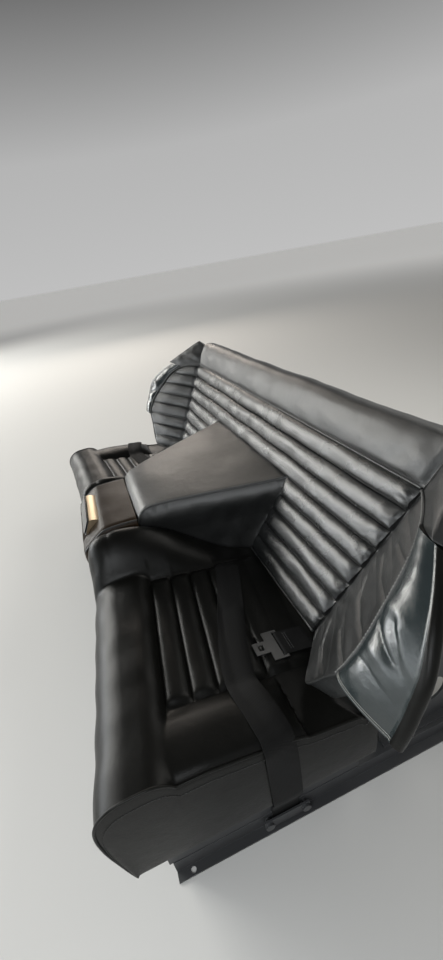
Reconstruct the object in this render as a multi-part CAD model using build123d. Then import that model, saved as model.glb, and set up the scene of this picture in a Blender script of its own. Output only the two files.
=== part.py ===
"""Rear seat of a two-plus-two coupe: a reclined pleated backrest with wing pads, an armrest and
saddle over the tunnel with a tip-out ashtray, two bucket cushions with lap straps, and the pressed
frame that carries them. +X is the car's left, +Y its rear and +Z up. All pieces are drawn in the
seat's own frame, whose X axis is the backrest's lower seam, and are then moved over the floor."""

from build123d import *
import os
from math import sin, cos, tan, radians, sqrt

# Driving sizes, in millimetres and degrees
SEAM_HEIGHT = 215.0        # the backrest's lower seam over the floor
RECLINE = 28.0             # backrest from the vertical
OVERALL_DEPTH = 670.0      # front of the cushions to the rear ends of the rails

# Backrest
PLEATS = 8
SPLIT_PLEATS = 5           # the lower pleats, parted by the armrest
PLEAT_PITCH = 37.7
PLEAT_BULGE = 9.5
PLEAT_SINK = 1.0           # flat face of the pad behind the creases
PLEAT_END = 3.0            # pleat ends to the pad's edge
BACK_HALF_LOW = 449.0      # half width at the lower seam
BACK_HALF_SEAM = 517.0     # half width at the seam under the top band
BAND_RISE = 84.0
BAND_FLARE = 18.0          # how far each end of the band widens to its top
BAND_BULGE = 7.0
BAND_BROW = 14.0           # under the band's top, where it rounds over
BAND_LIP = 26.0            # depth of that rounding
BAND_EASE = 2.0            # its start over the backrest's face
BACK_THICK = 78.0
BOARD_THICK = 2.5
BOARD_FLANGE = 16.0
BOARD_BELOW = 24.0         # board under the lower seam
BOARD_UNDER_BAND = 14.0    # the board's top edge under the band's
RIB_PLACES = (-330.0, -110.0, 110.0, 330.0)
RIB_HALF = 15.0            # half width of a swaged rib
RIB_RISE = 8.0
RIB_MARGIN = 52.0          # rib end to the board's edge

# Wings beside the backrest
WING_FORWARD = 41.8        # the wing's face from the car's cross plane, in plan
WING_RISE = 0.03           # how much its outward edge climbs
WING_THICK = 42.0
WING_STRETCH = 1.025       # pleat pitch on the wing over that on the backrest
WING_REACH = (104, 122, 142, 150, 140, 124, 98, 66)
BORDER_BELLY = 9.0         # how far the border swells between its edges
BORDER_EDGE = 9.0          # radius of its rounded outer edge
BORDER_BACK = 26.0         # its thickness at the outer edge

# Outlines on the wing's face: outward, up, and for the border's edge also the depth behind the face
WING_SEAM = [(171, 108), (173, 130), (168, 168), (150, 207), (131, 243), (108, 273), (74, 294), (36, 304)]
WING_HEM = [(0, 4), (60, 2), (98, 0), (112, 4), (125, 22), (138, 46), (150, 72), (164, 96)]
WING_TOP = (0, 307)
BORDER_RIM = [(241, 125, 57), (241, 147, 52), (238, 172, 46), (230, 214, 35), (210, 246, 24), (174, 276, 15),
              (134, 302, 6)]
GUSSET = [(2, 309), (37, 306), (76, 296), (131, 305), (84, 345), (30, 388), (4, 380)]
WING_BOARD = [(14, 20), (116, 20), (150, 80), (168, 128), (166, 170), (146, 206), (124, 246), (70, 296),
              (40, 350), (14, 330)]

# Armrest and saddle
ARM_REAR_HALF = 217.0
ARM_FRONT_HALF = 113.0
ARM_LENGTH = 284.0
ARM_NOSE = 30.0            # rounded nose in front of the flat top
ARM_NOSE_FALL = 38.0
ARM_DROP = 23.0            # fall of the top from the backrest to the nose
ARM_BELOW = 60.0           # how far the armrest's sides reach under the lower seam
SADDLE_TOP = 122.0
SADDLE_HALF = 114.0
SADDLE_FRONT = -352.0
SADDLE_CORNER = 16.0       # rounding of its long edges
SADDLE_BROW = 67.0         # where its top starts to fall, behind its front
ARCH_TOP = 46.0
ARCH_HALF = 106.0
ARCH_WALL = 3.0
ARCH_ROUND = 42.0
ARCH_FRONT = -344.0
ARCH_REAR = -6.0
ARCH_FLANGE = 26.0

# Cushions
CUSHION_FRONT = -386.0     # of the roll's outer end
CUSHION_TOE = 4.5          # turn of the roll and the pleats, outer end forward, in degrees
CUSHION_INNER = 117.0
CUSHION_OUTER = 598.0
CUSHION_REAR = 14.0        # tucked under the backrest
ROLL_RADIUS = 56.0
ROLL_DROP = 4.0            # centre of the front roll under the lower seam
ROLL_FLAT = 16.0           # its flat top, along the car
ROLL_INSET = 20.0          # roll's inner end from the bolster's inner side
ROLL_OUTSET = 8.0          # roll's outer end from the border's outer side
UNDERCUT = 22.0            # the front's lower edge behind the roll
INSERT_FRONT_Z = 36.0
INSERT_SLOPE = 0.163       # fall of the insert to the rear
INSERT_START = -233.0      # front edge of the pleats at the cushion's inner end
INSERT_LENGTH = 240.0
INSERT_PLEATS = 6
INSERT_BULGE = 7.0
BOLSTER_FOOT = 212.0       # where the inner bolster meets the pleated insert
BORDER_START = 496.0

# Crests of the cushion's bolster and border: seen from the side, then from the front
BOLSTER_SIDE = [(-346, 40), (-329, 92), (-292, 120), (-225, 111), (-134, 64), (CUSHION_REAR, -10)]
BOLSTER_FRONT = [(CUSHION_INNER, 104), (CUSHION_INNER + 6, 116), (CUSHION_INNER + 20, 120), (169, 98),
                 (BOLSTER_FOOT, 12)]
BORDER_SIDE = [(-380, 0), (-366, 34), (-328, 47), (-130, 30), (-103, 8), (-90, -30)]
BORDER_FRONT = [(BORDER_START, 0), (522, 34), (558, 46), (590, 34), (CUSHION_OUTER, 6)]

# Frame under the seat
RAIL_WIDTH = 40.0
RAIL_HEIGHT = 30.0
RAIL_WALL = 2.5
RAIL_FLANGE = 14.0
RAIL_INNER_X = 132.0
RAIL_OUTER_X = 560.0
RAIL_HOLE_R = 4.5
RAIL_HOLE_INSET = 24.0
RAIL_SETBACK = 60.0        # rails' front ends behind the cushions' front
PAN_TOP = 90.0             # top of the pan over the floor
PAN_SHEET = 2.0
PAN_INSET = 19.0           # pan's sides inside the cushion's
STAY_THICK = 4.0
STAY_FLANGE = 14.0
STAY_FOOT = 20.0           # height of a stay's rear end over its rail
STAY_INSET = 12.0          # its rear end before the rail's
BACK_STAY_FRONT = 94.0
BACK_STAY_TOP = (300.0, 260.0)
WING_STAY_FRONT = [(150, 190), (60, 190), (20, 60), (50, -185)]

# Lightening holes of the stays: along the car, height, radius
BACK_STAY_HOLES = [(178, -110, 28), (178, -20, 26), (192, 60, 20), (206, 125, 12)]
WING_STAY_HOLES = [(150, -110, 30), (130, -10, 28), (124, 80, 20)]

# Ashtray
TRAY_HALF = 62.0           # half width of the hood
TRAY_HINGE_Y = -322.0
TRAY_HINGE_Z = 93.5
TRAY_REACH = 20.0          # hinge to the bin's lower front corner
TRAY_RADIUS = 26.0         # round back of the bin about its hinge
TRAY_GAP = 3.0             # bin to hood
TRAY_WALL = 1.5
HOOD_SHEET = 1.5
TRAY_OPENING = 38.0        # top of the bin's round back, as an angle over the hinge
FACE_GAP = 2.0             # face plate to the hood's front edge
FACE_THICK = 3.0
FACE_HALF = 67.0
FACE_LEAN = 27.0           # face plate from the vertical, its top to the rear
FACE_BELOW = 2.0           # face plate under the hinge
FACE_HEIGHT = 36.0         # along its slope
FACE_CORNER = 12.0         # rounding of the lower corners
FACE_TOP_CORNER = 5.0
WEB_HEIGHT = 14.0          # block between the face plate and the bin
SCOOP_DEPTH = 18.0         # room under the face plate's foot for its swing
PIN_RADIUS = 2.0
PIN_CLEARANCE = 0.05
PIN_HEAD = 3.5

# Lap straps
STRAP_WIDTH = 48.0
STRAP_THICK = 2.0
STRAP_START = (228.0, -77.0)
STRAP_TURN = -15.5         # its run over the insert, about the vertical
STRAP_RUN = [(-2, 17), (30, 14), (264, 23)]
STRAP_OVER_TURN = 3.0      # its run over the border
STRAP_OVER = [(-2, 23), (6, 23), (34, 41), (98, 41), (119, 30), (123, -120), (100, -187), (100, -210)]
CLAMP_Y = -142.0           # middle of the plate that holds the strap's end to the outer rail
CLAMP_RISE = 16.0          # over the floor
CLAMP_STAND = 6.0          # off the rail's side
CLAMP_PLATE = (3.0, 78.0, 20.0)
CLAMP_BOLT = (4.0, 7.0, 4.0)   # shank's radius, head's radius and height
TAIL_RUN = [(6, -13), (-6, -9), (-14, -2), (-62.5, 6)]
TAIL_X = 452.0
TONGUE_Y = -63.0           # rear edge of the tongue
TONGUE_Z = 7.4
TONGUE_TILT = -9.3
TONGUE_THICK = 2.5
TONGUE_BAR = (58.0, 26.0)  # the part with the webbing's slot
TONGUE_SLOT = (50.0, 6.0)
TONGUE_TAB = (24.0, 24.0)
TONGUE_WINDOW = (11.0, 9.0)

GAP = 0.5                  # between soft pieces and what is beside them
FLOOR = -SEAM_HEIGHT
BACK_LENGTH = PLEATS * PLEAT_PITCH
LEAN_S = sin(radians(RECLINE))
LEAN_C = cos(radians(RECLINE))
REAR = CUSHION_FRONT + OVERALL_DEPTH
ON_FLOOR = Location((0, -(CUSHION_FRONT + REAR) / 2, SEAM_HEIGHT))
HALF_ROOT = sqrt(0.5)
TAN_FACE = tan(radians(FACE_LEAN))
HOOD_RADIUS = TRAY_RADIUS + TRAY_GAP + HOOD_SHEET
TRAY_LOW = -TRAY_WALL - TRAY_GAP
WIDE = BACK_HALF_SEAM + BAND_FLARE


def side_plane(x=0.0):
    """A plane across the car whose own X is the car's +Y and own Y is +Z."""
    return Plane(origin=(x, 0, 0), x_dir=(0, 1, 0), z_dir=(1, 0, 0))


def front_plane(y=0.0):
    """An upright plane whose own X is +X, own Y is +Z, and whose normal is -Y."""
    return Plane(origin=(0, y, 0), x_dir=(1, 0, 0), z_dir=(0, -1, 0))


def lean_side(x=0.0):
    """A plane across the car whose own X climbs the backrest and own Y leaves its face."""
    return Plane(origin=(x, 0, 0), x_dir=(0, LEAN_S, LEAN_C), z_dir=(1, 0, 0))


LEAN_FACE = Plane(origin=(0, 0, 0), x_dir=(1, 0, 0), z_dir=(0, -LEAN_C, LEAN_S))


def prism(plane, points, depth, both=False):
    """A polygon on a plane, extruded along the plane's normal."""
    face = plane * Polygon(*points, align=None)
    return extrude(face, amount=depth, both=both)


def block(x0, x1, y0, y1, z0, z1):
    """A box between two corners."""
    return Pos((x0 + x1) / 2, (y0 + y1) / 2, (z0 + z1) / 2) * Box(x1 - x0, y1 - y0, z1 - z0)


def outline_prism(plane, edges, depth, both=False):
    """A closed run of lines and arcs on a plane, extruded along the plane's normal."""
    face = plane * make_face(Curve() + edges)
    return extrude(face, amount=depth, both=both)


def back_half(s):
    """Half width of the backrest's face at a height along its slope."""
    return BACK_HALF_LOW + (BACK_HALF_SEAM - BACK_HALF_LOW) * s / BACK_LENGTH


def arm_half(y):
    """Half width of the armrest at a place along the car."""
    rear = ARM_TOP_Y
    front = rear - ARM_LENGTH
    share = max(0.0, (y - front) / (rear - front))
    return ARM_FRONT_HALF + (ARM_REAR_HALF - ARM_FRONT_HALF) * share


ARM_SEAM = SPLIT_PLEATS * PLEAT_PITCH
ARM_TOP_Y = ARM_SEAM * LEAN_S
ARM_TOP_Z = ARM_SEAM * LEAN_C
ARM_FRONT_Y = ARM_TOP_Y - ARM_LENGTH
ARM_FRONT_Z = ARM_TOP_Z - ARM_DROP

PUFF_RADIUS = ((PLEAT_PITCH / 2) ** 2 + PLEAT_BULGE**2) / (2 * PLEAT_BULGE)
PUFF_DEPTH = PUFF_RADIUS - PLEAT_BULGE


def puff(plane, x0, x1, y, radius, depth):
    """One stuffed pleat: a round roll with domed ends, its axis sunk under the plane."""
    length = x1 - x0
    middle = Pos((x0 + x1) / 2, y, -depth) * Rot(0, 90, 0)
    roll = middle * Cylinder(radius, length)
    ends = [Pos(x, y, -depth) * Sphere(radius) for x in (x0, x1)]
    return plane * (roll + ends)


def back_pleats():
    """The pleats' axes: whole ones above the armrest, a pair each side of it below."""
    rolls = []
    end_room = PLEAT_PITCH / 2 + PLEAT_END
    for k in range(PLEATS):
        s = (k + 0.5) * PLEAT_PITCH
        outer = back_half(s) - end_room
        if k >= SPLIT_PLEATS:
            rolls.append((-outer, outer, s))
            continue
        y = s * LEAN_S
        inner = arm_half(y) + end_room
        rolls.append((inner, outer, s))
        rolls.append((-outer, -inner, s))
    return rolls


def lean_column(s0, s1, half0, half1):
    """A column through the whole backrest between two heights and their half widths."""
    outline = [(-half0, s0), (half0, s0), (half1, s1), (-half1, s1)]
    return prism(LEAN_FACE.offset(BACK_THICK), outline, -3 * BACK_THICK)


def backrest_pad():
    low, high = back_half(0), back_half(BACK_LENGTH)
    points = [(-low, 0), (low, 0), (high, BACK_LENGTH), (-high, BACK_LENGTH)]
    pad = prism(LEAN_FACE.offset(-PLEAT_SINK), points, -(BACK_THICK - PLEAT_SINK))
    pad = pad + [puff(LEAN_FACE, x0, x1, s, PUFF_RADIUS, PUFF_DEPTH) for x0, x1, s in back_pleats()]
    return pad & lean_column(0, BACK_LENGTH, low, high)


def backrest_band():
    """The smooth roll over the pleats, rounding over to the rear."""
    s0 = BACK_LENGTH + GAP
    s1 = BACK_LENGTH + BAND_RISE
    brow = s1 - BAND_BROW
    edges = [
        ThreePointArc((s0, 0), ((s0 + brow) / 2, BAND_BULGE), (brow, BAND_EASE)),
        ThreePointArc((brow, BAND_EASE), (s1 - 2, -BAND_LIP / 3), (s1, -BAND_LIP)),
        Line((s1, -BAND_LIP), (brow, -BACK_THICK)),
        Line((brow, -BACK_THICK), (s0, -BACK_THICK)),
        Line((s0, -BACK_THICK), (s0, 0)),
    ]
    band = outline_prism(lean_side(), edges, WIDE + BAND_RISE, both=True)
    return band & lean_column(s0, s1, BACK_HALF_SEAM, WIDE)


def back_board():
    """The pressed panel behind the backrest, with a turned rim and swaged ribs."""
    w = BOARD_THICK
    top = BACK_LENGTH + BAND_RISE - BOARD_UNDER_BAND
    half0, half1 = BACK_HALF_LOW - w, BACK_HALF_SEAM
    start = LEAN_FACE.offset(-(BACK_THICK + GAP))
    points = [(-half0, -BOARD_BELOW), (half0, -BOARD_BELOW), (half1, top), (-half1, top)]
    inside = [(-half0 + w, -BOARD_BELOW + w), (half0 - w, -BOARD_BELOW + w), (half1 - w, top - w),
              (-half1 + w, top - w)]
    board = prism(start, points, -BOARD_FLANGE) - prism(start.offset(-w), inside, -BOARD_FLANGE)
    radius = (RIB_HALF**2 + RIB_RISE**2) / (2 * RIB_RISE)
    back = Plane(origin=start.offset(-w).origin, x_dir=(0, LEAN_S, LEAN_C), z_dir=(0, LEAN_C, -LEAN_S))
    s0, s1 = RIB_MARGIN - BOARD_BELOW, top - RIB_MARGIN
    for x in RIB_PLACES:
        rib = puff(back, s0, s1, -x, radius, radius - RIB_RISE)
        board = board + (rib & prism(start, points, -BOARD_FLANGE))
    for x in RIB_PLACES:
        board = board - puff(back, s0, s1, -x, radius - w, radius - RIB_RISE)
    return board


def wing_frame():
    """The wing's face: own X runs outward and forward, own Y up the backrest's side edge."""
    edge = Vector(BACK_HALF_SEAM - BACK_HALF_LOW, BACK_LENGTH * LEAN_S, BACK_LENGTH * LEAN_C)
    out = Vector(cos(radians(WING_FORWARD)), -sin(radians(WING_FORWARD)), WING_RISE)
    normal = out.cross(edge).normalized()
    x_dir = edge.cross(normal).normalized()
    return Plane(origin=(BACK_HALF_LOW + GAP, 0, 0), x_dir=x_dir, z_dir=normal)


WING = wing_frame()


def wing_column(outline):
    """A column through the whole wing over an outline on its face."""
    return prism(WING.offset(WING_THICK), outline, -3 * WING_THICK)


def wing_pad():
    """The pleated inner face of the wing, on its own slab."""
    face = WING_HEM + WING_SEAM + [WING_TOP]
    pad = prism(WING.offset(-PLEAT_SINK), face, -(WING_THICK - PLEAT_SINK))
    for k, reach in enumerate(WING_REACH):
        v = (k + 0.5) * PLEAT_PITCH * WING_STRETCH
        pad = pad + puff(WING, PLEAT_PITCH / 2, reach, v, PUFF_RADIUS, PUFF_DEPTH)
    return pad & wing_column(face)


def border_section(seam, rim):
    """A slice of the wing's border from its seam to its rounded rim, as a face across it."""
    u, v, depth = rim
    across = Vector(u - seam[0], v - seam[1], 0)
    length = across.length
    slice_at = WING * Plane(origin=(seam[0], seam[1], 0), x_dir=across, z_dir=across.cross(Vector(0, 0, 1)))
    r = BORDER_EDGE
    back = -max(WING_THICK, depth + BORDER_BACK)
    return slice_at * make_face(Curve() + [
        ThreePointArc((GAP, 0), (length / 2, BORDER_BELLY - depth / 2), (length - r, -depth)),
        ThreePointArc((length - r, -depth), (length, -depth - r), (length - r, -depth - 2 * r)),
        Line((length - r, -depth - 2 * r), (length / 2, back)),
        Line((length / 2, back), (GAP, -WING_THICK)),
        Line((GAP, -WING_THICK), (GAP, 0)),
    ])


def wing_border():
    """The smooth outer roll of the wing, whose rim falls back towards its lower end."""
    sections = [border_section(seam, rim) for seam, rim in zip(WING_SEAM, BORDER_RIM)]
    return loft(sections, ruled=True) - wing_column(WING_HEM + WING_SEAM + [WING_TOP])


def wing_gusset():
    """The smooth three-cornered pad between the band and the top of the wing."""
    pad = prism(WING.offset(GAP), GUSSET, -(WING_THICK + GAP))
    return pad - wing_column(WING_HEM + WING_SEAM + [WING_TOP])


def wing_board():
    """The panel that the wing pads are fixed to."""
    return prism(WING.offset(-(WING_THICK + GAP)), WING_BOARD, -BOARD_THICK)


def arm_prism(extra, z0, z1):
    """The armrest's plan outline, grown by a margin, between two heights."""
    rear, front = ARM_TOP_Y + ARM_NOSE, ARM_FRONT_Y - ARM_NOSE
    slope = (ARM_REAR_HALF - ARM_FRONT_HALF) / ARM_LENGTH
    half_rear = ARM_REAR_HALF + ARM_NOSE * slope + extra
    half_front = ARM_FRONT_HALF + extra
    points = [(-half_front, front - extra), (half_front, front - extra), (half_front, ARM_FRONT_Y),
              (half_rear, rear), (-half_rear, rear), (-half_front, ARM_FRONT_Y)]
    return prism(Plane.XY.offset(z0), points, z1 - z0)


def armrest_pad():
    nose_y = ARM_FRONT_Y - ARM_NOSE
    base = -ARM_BELOW
    rear_gap = GAP + PLEAT_SINK
    seam = (ARM_TOP_Y - rear_gap / LEAN_C, ARM_TOP_Z)
    foot = (base * tan(radians(RECLINE)) - rear_gap / LEAN_C, base)
    shoulder = ARM_FRONT_Z - ARM_NOSE_FALL
    middle = (nose_y + ARM_NOSE * (1 - HALF_ROOT), ARM_FRONT_Z - ARM_NOSE_FALL * (1 - HALF_ROOT))
    edges = [
        Line(seam, (ARM_FRONT_Y, ARM_FRONT_Z)),
        ThreePointArc((ARM_FRONT_Y, ARM_FRONT_Z), middle, (nose_y, shoulder)),
        Line((nose_y, shoulder), (nose_y, base)),
        Line((nose_y, base), foot),
        Line(foot, seam),
    ]
    body = outline_prism(side_plane(), edges, WIDE, both=True)
    pad = body & arm_prism(0, base - 1, ARM_TOP_Z + 1)
    tunnel = block(-ARCH_HALF - GAP, ARCH_HALF + GAP, nose_y - 1, -foot[0], base - 1, ARCH_TOP + GAP)
    return pad - tunnel


def saddle_pad():
    """The pad over the front of the tunnel: its brow falls to the front, round the ashtray's hood."""
    rear = ARM_FRONT_Y - ARM_NOSE - GAP
    z0 = ARCH_TOP + GAP
    brow = SADDLE_FRONT + SADDLE_BROW
    edges = [
        Line((rear, z0), (rear, SADDLE_TOP)),
        Line((rear, SADDLE_TOP), (brow, SADDLE_TOP)),
        ThreePointArc((brow, SADDLE_TOP), (brow - 17, SADDLE_TOP - 3), (brow - 33, SADDLE_TOP - 14)),
        Line((brow - 33, SADDLE_TOP - 14), (SADDLE_FRONT + 10, SADDLE_TOP - 33)),
        ThreePointArc((SADDLE_FRONT + 10, SADDLE_TOP - 33), (SADDLE_FRONT + 3, SADDLE_TOP - 41),
                      (SADDLE_FRONT, SADDLE_TOP - 53)),
        Line((SADDLE_FRONT, SADDLE_TOP - 53), (SADDLE_FRONT, z0)),
        Line((SADDLE_FRONT, z0), (rear, z0)),
    ]
    pad = outline_prism(side_plane(), edges, SADDLE_HALF, both=True)
    across = arch_outline(SADDLE_HALF, SADDLE_TOP, SADDLE_CORNER, z0)
    pad = pad & outline_prism(front_plane(rear + GAP), across, rear - SADDLE_FRONT + 1)
    return pad - ashtray_room()


def ashtray_room():
    """The saddle's recess for the ashtray, deeper under its bin and face for their swing."""
    half = TRAY_HALF + GAP
    low = TRAY_HINGE_Z + TRAY_LOW - GAP
    ahead, over = SADDLE_FRONT - GAP, SADDLE_TOP + TRAY_RADIUS
    centre = Pos(0, TRAY_HINGE_Y, TRAY_HINGE_Z)
    drum = centre * Rot(0, 90, 0) * Cylinder(HOOD_RADIUS + GAP, 2 * half)
    drum = drum & block(-half, half, TRAY_HINGE_Y, TRAY_HINGE_Y + 2 * HOOD_RADIUS, low, over)
    front = block(-half, half, ahead, TRAY_HINGE_Y + TRAY_GAP, low - SCOOP_DEPTH, over)
    side = FACE_HALF + TRAY_GAP
    scoop = block(-side, side, ahead, TRAY_HINGE_Y - TRAY_REACH / 2, low - SCOOP_DEPTH, over)
    head = TRAY_HALF + PIN_HEAD
    heads = block(-head, head, ahead, TRAY_HINGE_Y + 2 * PIN_HEAD, low, TRAY_HINGE_Z + 2 * PIN_HEAD)
    return drum + front + scoop + heads


def arch_outline(half, top, radius, z0):
    """An upright outline with a flat base at z0 and two rounded upper corners."""
    k = radius * (1 - sqrt(0.5))
    return [
        Line((-half, z0), (half, z0)),
        Line((half, z0), (half, top - radius)),
        ThreePointArc((half, top - radius), (half - k, top - k), (half - radius, top)),
        Line((half - radius, top), (-half + radius, top)),
        ThreePointArc((-half + radius, top), (-half + k, top - k), (-half, top - radius)),
        Line((-half, top - radius), (-half, z0)),
    ]


def tunnel_arch():
    """The pressed arch over the tunnel, on flanges that stand on the inner rails."""
    base = FLOOR + RAIL_HEIGHT
    depth = ARCH_REAR - ARCH_FRONT
    wide = ARCH_HALF + ARCH_FLANGE
    shell = outline_prism(front_plane(ARCH_REAR), arch_outline(ARCH_HALF, ARCH_TOP, ARCH_ROUND, base), depth)
    shell = shell + block(-wide, wide, ARCH_FRONT, ARCH_REAR, base, base + ARCH_WALL)
    inner = arch_outline(ARCH_HALF - ARCH_WALL, ARCH_TOP - ARCH_WALL, ARCH_ROUND - ARCH_WALL, base - 1)
    return shell - outline_prism(front_plane(ARCH_REAR + 1), inner, depth + 2)


def hump(points, base):
    """A closed outline over a base line: up, over two arcs, with a straight between them if there are
    six points, and down."""
    first, last = points[:3], points[-3:]
    start, end = (first[0][0], base), (last[2][0], base)
    edges = [Line(start, first[0]), ThreePointArc(*first)]
    if len(points) > 5:
        edges.append(Line(first[2], last[0]))
    return edges + [ThreePointArc(*last), Line(last[2], end), Line(end, start)]


def crest(side, front, base):
    """A raised part of the cushion, from its side and front outlines."""
    return (outline_prism(side_plane(), hump(side, base), CUSHION_OUTER)
            & outline_prism(front_plane(CUSHION_REAR + 1), hump(front, base), -2 * CUSHION_FRONT))


def cushion_front(x):
    """The front of a cushion's roll at a place across the car."""
    return CUSHION_FRONT + (CUSHION_OUTER - ROLL_OUTSET - x) * tan(radians(CUSHION_TOE))


def cushion():
    """The left bucket cushion: a front roll, a pleated insert, a high inner bolster and a low border."""
    base = FLOOR + PAN_TOP + GAP
    inner, outer = CUSHION_INNER + ROLL_INSET, CUSHION_OUTER - ROLL_OUTSET
    front = cushion_front(inner)
    toe = Pos(inner, front, 0) * Rot(0, 0, -CUSHION_TOE)
    reach, length = 2 * (outer - inner), CUSHION_REAR - front
    rear = length + ROLL_RADIUS
    crown = INSERT_FRONT_Z - (rear - ROLL_RADIUS) * INSERT_SLOPE
    main = [(UNDERCUT, base), (rear, base), (rear, crown), (ROLL_RADIUS, INSERT_FRONT_Z),
            (ROLL_RADIUS, -ROLL_DROP), (0, -ROLL_DROP)]
    pad = prism(side_plane(-reach / 2), main, reach)
    y0, y1, crest_z = ROLL_RADIUS, ROLL_RADIUS + ROLL_FLAT, ROLL_RADIUS - ROLL_DROP
    pad = pad + prism(side_plane(-reach / 2), [(y0, base), (y1, base), (y1, crest_z), (y0, crest_z)], reach)
    for y in (y0, y1):
        pad = pad + Pos(0, y, -ROLL_DROP) * Rot(0, 90, 0) * Cylinder(ROLL_RADIUS, reach)
    pad = toe * (pad + insert_pleats(INSERT_START - front, inner))
    pad = pad & block(inner, outer, CUSHION_FRONT - 1, CUSHION_REAR, base, BAND_RISE)
    pad = pad + crest(BOLSTER_SIDE, BOLSTER_FRONT, base) + crest(BORDER_SIDE, BORDER_FRONT, base)
    pad = pad - arm_prism(2.0, FLOOR, ARM_TOP_Z) - lean_column(-GAP, BACK_LENGTH, WIDE, WIDE)
    margin = WING_THICK / 3
    outline = [(0, 0), *WING_HEM[2:], (WING_HEM[-1][0], BACK_HALF_SEAM), (0, BACK_HALF_SEAM)]
    room = offset(Polygon(*outline, align=None), margin / 2, kind=Kind.INTERSECTION)
    return pad - extrude(WING.offset(margin) * room, amount=-(WING_THICK + BOARD_THICK + 2 * margin))


def insert_pleats(start, inner):
    """The rolls across the insert, on its slope to the rear, from the roll's front inner corner."""
    pitch = INSERT_LENGTH / INSERT_PLEATS
    radius = ((pitch / 2) ** 2 + INSERT_BULGE**2) / (2 * INSERT_BULGE)
    x0, x1 = BOLSTER_FOOT + pitch / 2 - inner, BORDER_START - pitch / 2 - inner
    rolls = []
    for k in range(INSERT_PLEATS):
        y = start + (k + 0.5) * pitch
        z = INSERT_FRONT_Z - (y - ROLL_RADIUS) * INSERT_SLOPE + PLEAT_SINK
        rolls.append(puff(Plane.XY.offset(z), x0, x1, y, radius, radius - INSERT_BULGE))
    return rolls


def pan():
    """The pressed pan under a cushion, open below, standing on the rails."""
    x0, x1 = CUSHION_INNER + PAN_INSET, CUSHION_OUTER - PAN_INSET
    y0, y1 = cushion_front(x0) + PAN_INSET, CUSHION_REAR - PAN_INSET
    z0, z1 = FLOOR + RAIL_HEIGHT, FLOOR + PAN_TOP
    t = PAN_SHEET
    return block(x0, x1, y0, y1, z0, z1) - block(x0 + t, x1 - t, y0 + t, y1 - t, z0 - t, z1 - t)


def rail(x):
    """A hat-section rail along the car, bolted through its flanges near each end."""
    w, h, t, f = RAIL_WIDTH / 2, RAIL_HEIGHT, RAIL_WALL, RAIL_FLANGE
    points = [(-w - f, 0), (-w + t, 0), (-w + t, h - t), (w - t, h - t), (w - t, 0), (w + f, 0),
              (w + f, t), (w, t), (w, h), (-w, h), (-w, t), (-w - f, t)]
    body = prism(front_plane(REAR), points, OVERALL_DEPTH - RAIL_SETBACK)
    ends = (REAR - RAIL_HOLE_INSET, CUSHION_FRONT + RAIL_SETBACK + RAIL_HOLE_INSET)
    across = (-w - f / 2, w + f / 2)
    holes = [Pos(hole_x, y, t / 2) * Cylinder(RAIL_HOLE_R, 4 * t) for hole_x in across for y in ends]
    return Pos(x, 0, FLOOR) * (body - holes)


def stay_plate(x, points, holes):
    """An upright plate over a rail with a foot flange and lightening holes."""
    z0 = FLOOR + RAIL_HEIGHT
    half = STAY_THICK / 2
    plate = prism(side_plane(x - half), points, STAY_THICK)
    for y, z, radius in holes:
        plate = plate - Pos(x, y, z) * Rot(0, 90, 0) * Cylinder(radius, 2 * STAY_THICK)
    front = min(y for y, z in points if z == z0)
    return plate + block(x - STAY_FLANGE, x + STAY_FLANGE, front, REAR - STAY_INSET, z0, z0 + STAY_THICK)


def back_stay():
    """The upright plate that carries the backrest's board on an inner rail."""
    z0 = FLOOR + RAIL_HEIGHT
    end = REAR - STAY_INSET
    behind = BACK_THICK + GAP + BOARD_FLANGE
    points = [(BACK_STAY_FRONT, z0), (end, z0), (end, z0 + STAY_FOOT)]
    for s in (*BACK_STAY_TOP, 0):
        points.append((s * LEAN_S + behind * LEAN_C, s * LEAN_C - behind * LEAN_S))
    x0, x1 = RAIL_INNER_X - STAY_FLANGE, RAIL_INNER_X + STAY_FLANGE
    strip = [(x0, 0), (x1, 0), (x1, BACK_STAY_TOP[0]), (x0, BACK_STAY_TOP[0])]
    flange = prism(LEAN_FACE.offset(-behind), strip, -STAY_THICK)
    return stay_plate(RAIL_INNER_X, points, BACK_STAY_HOLES) + flange


def wing_stay():
    """The upright plate that carries the wing's board on an outer rail."""
    end = REAR - STAY_INSET
    z0 = FLOOR + RAIL_HEIGHT
    plate = stay_plate(RAIL_OUTER_X, [(end, z0), (end, z0 + STAY_FOOT), *WING_STAY_FRONT], WING_STAY_HOLES)
    ahead = [(-WIDE, -WIDE), (WIDE, -WIDE), (WIDE, WIDE), (-WIDE, WIDE)]
    return plate - prism(WING.offset(-(WING_THICK + GAP + BOARD_THICK)), ahead, WIDE)


def hood_outline(reach, radius, low):
    """The hood seen from the side, about the hinge: a leaning front that turns round at its foot, a flat
    top and a round back."""
    lean = reach - (radius - low) * TAN_FACE
    slope = radians(FACE_LEAN)
    near = (reach + low * TAN_FACE) * cos(slope)
    return [
        ThreePointArc((-sqrt(near**2 - low**2), low), (-near, 0), (-near * cos(slope), near * sin(slope))),
        Line((-near * cos(slope), near * sin(slope)), (-lean, radius)),
        Line((-lean, radius), (0, radius)),
        ThreePointArc((0, radius), (radius * HALF_ROOT, radius * HALF_ROOT), (radius, 0)),
        Line((radius, 0), (radius, low)),
        Line((radius, low), (-sqrt(near**2 - low**2), low)),
    ]


def bin_outline(reach, radius, low, angle):
    """The bin seen from the side, about the hinge, its back rising to an angle."""
    a = radians(angle)
    rise, back = radius * sin(a), sqrt(radius**2 - low**2)
    top = reach - (rise - low) * TAN_FACE
    return [
        Line((-reach, low), (back, low)),
        ThreePointArc((back, low), (radius * cos(a / 2), radius * sin(a / 2)), (radius * cos(a), rise)),
        Line((radius * cos(a), rise), (-top, rise)),
        Line((-top, rise), (-reach, low)),
    ]


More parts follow.
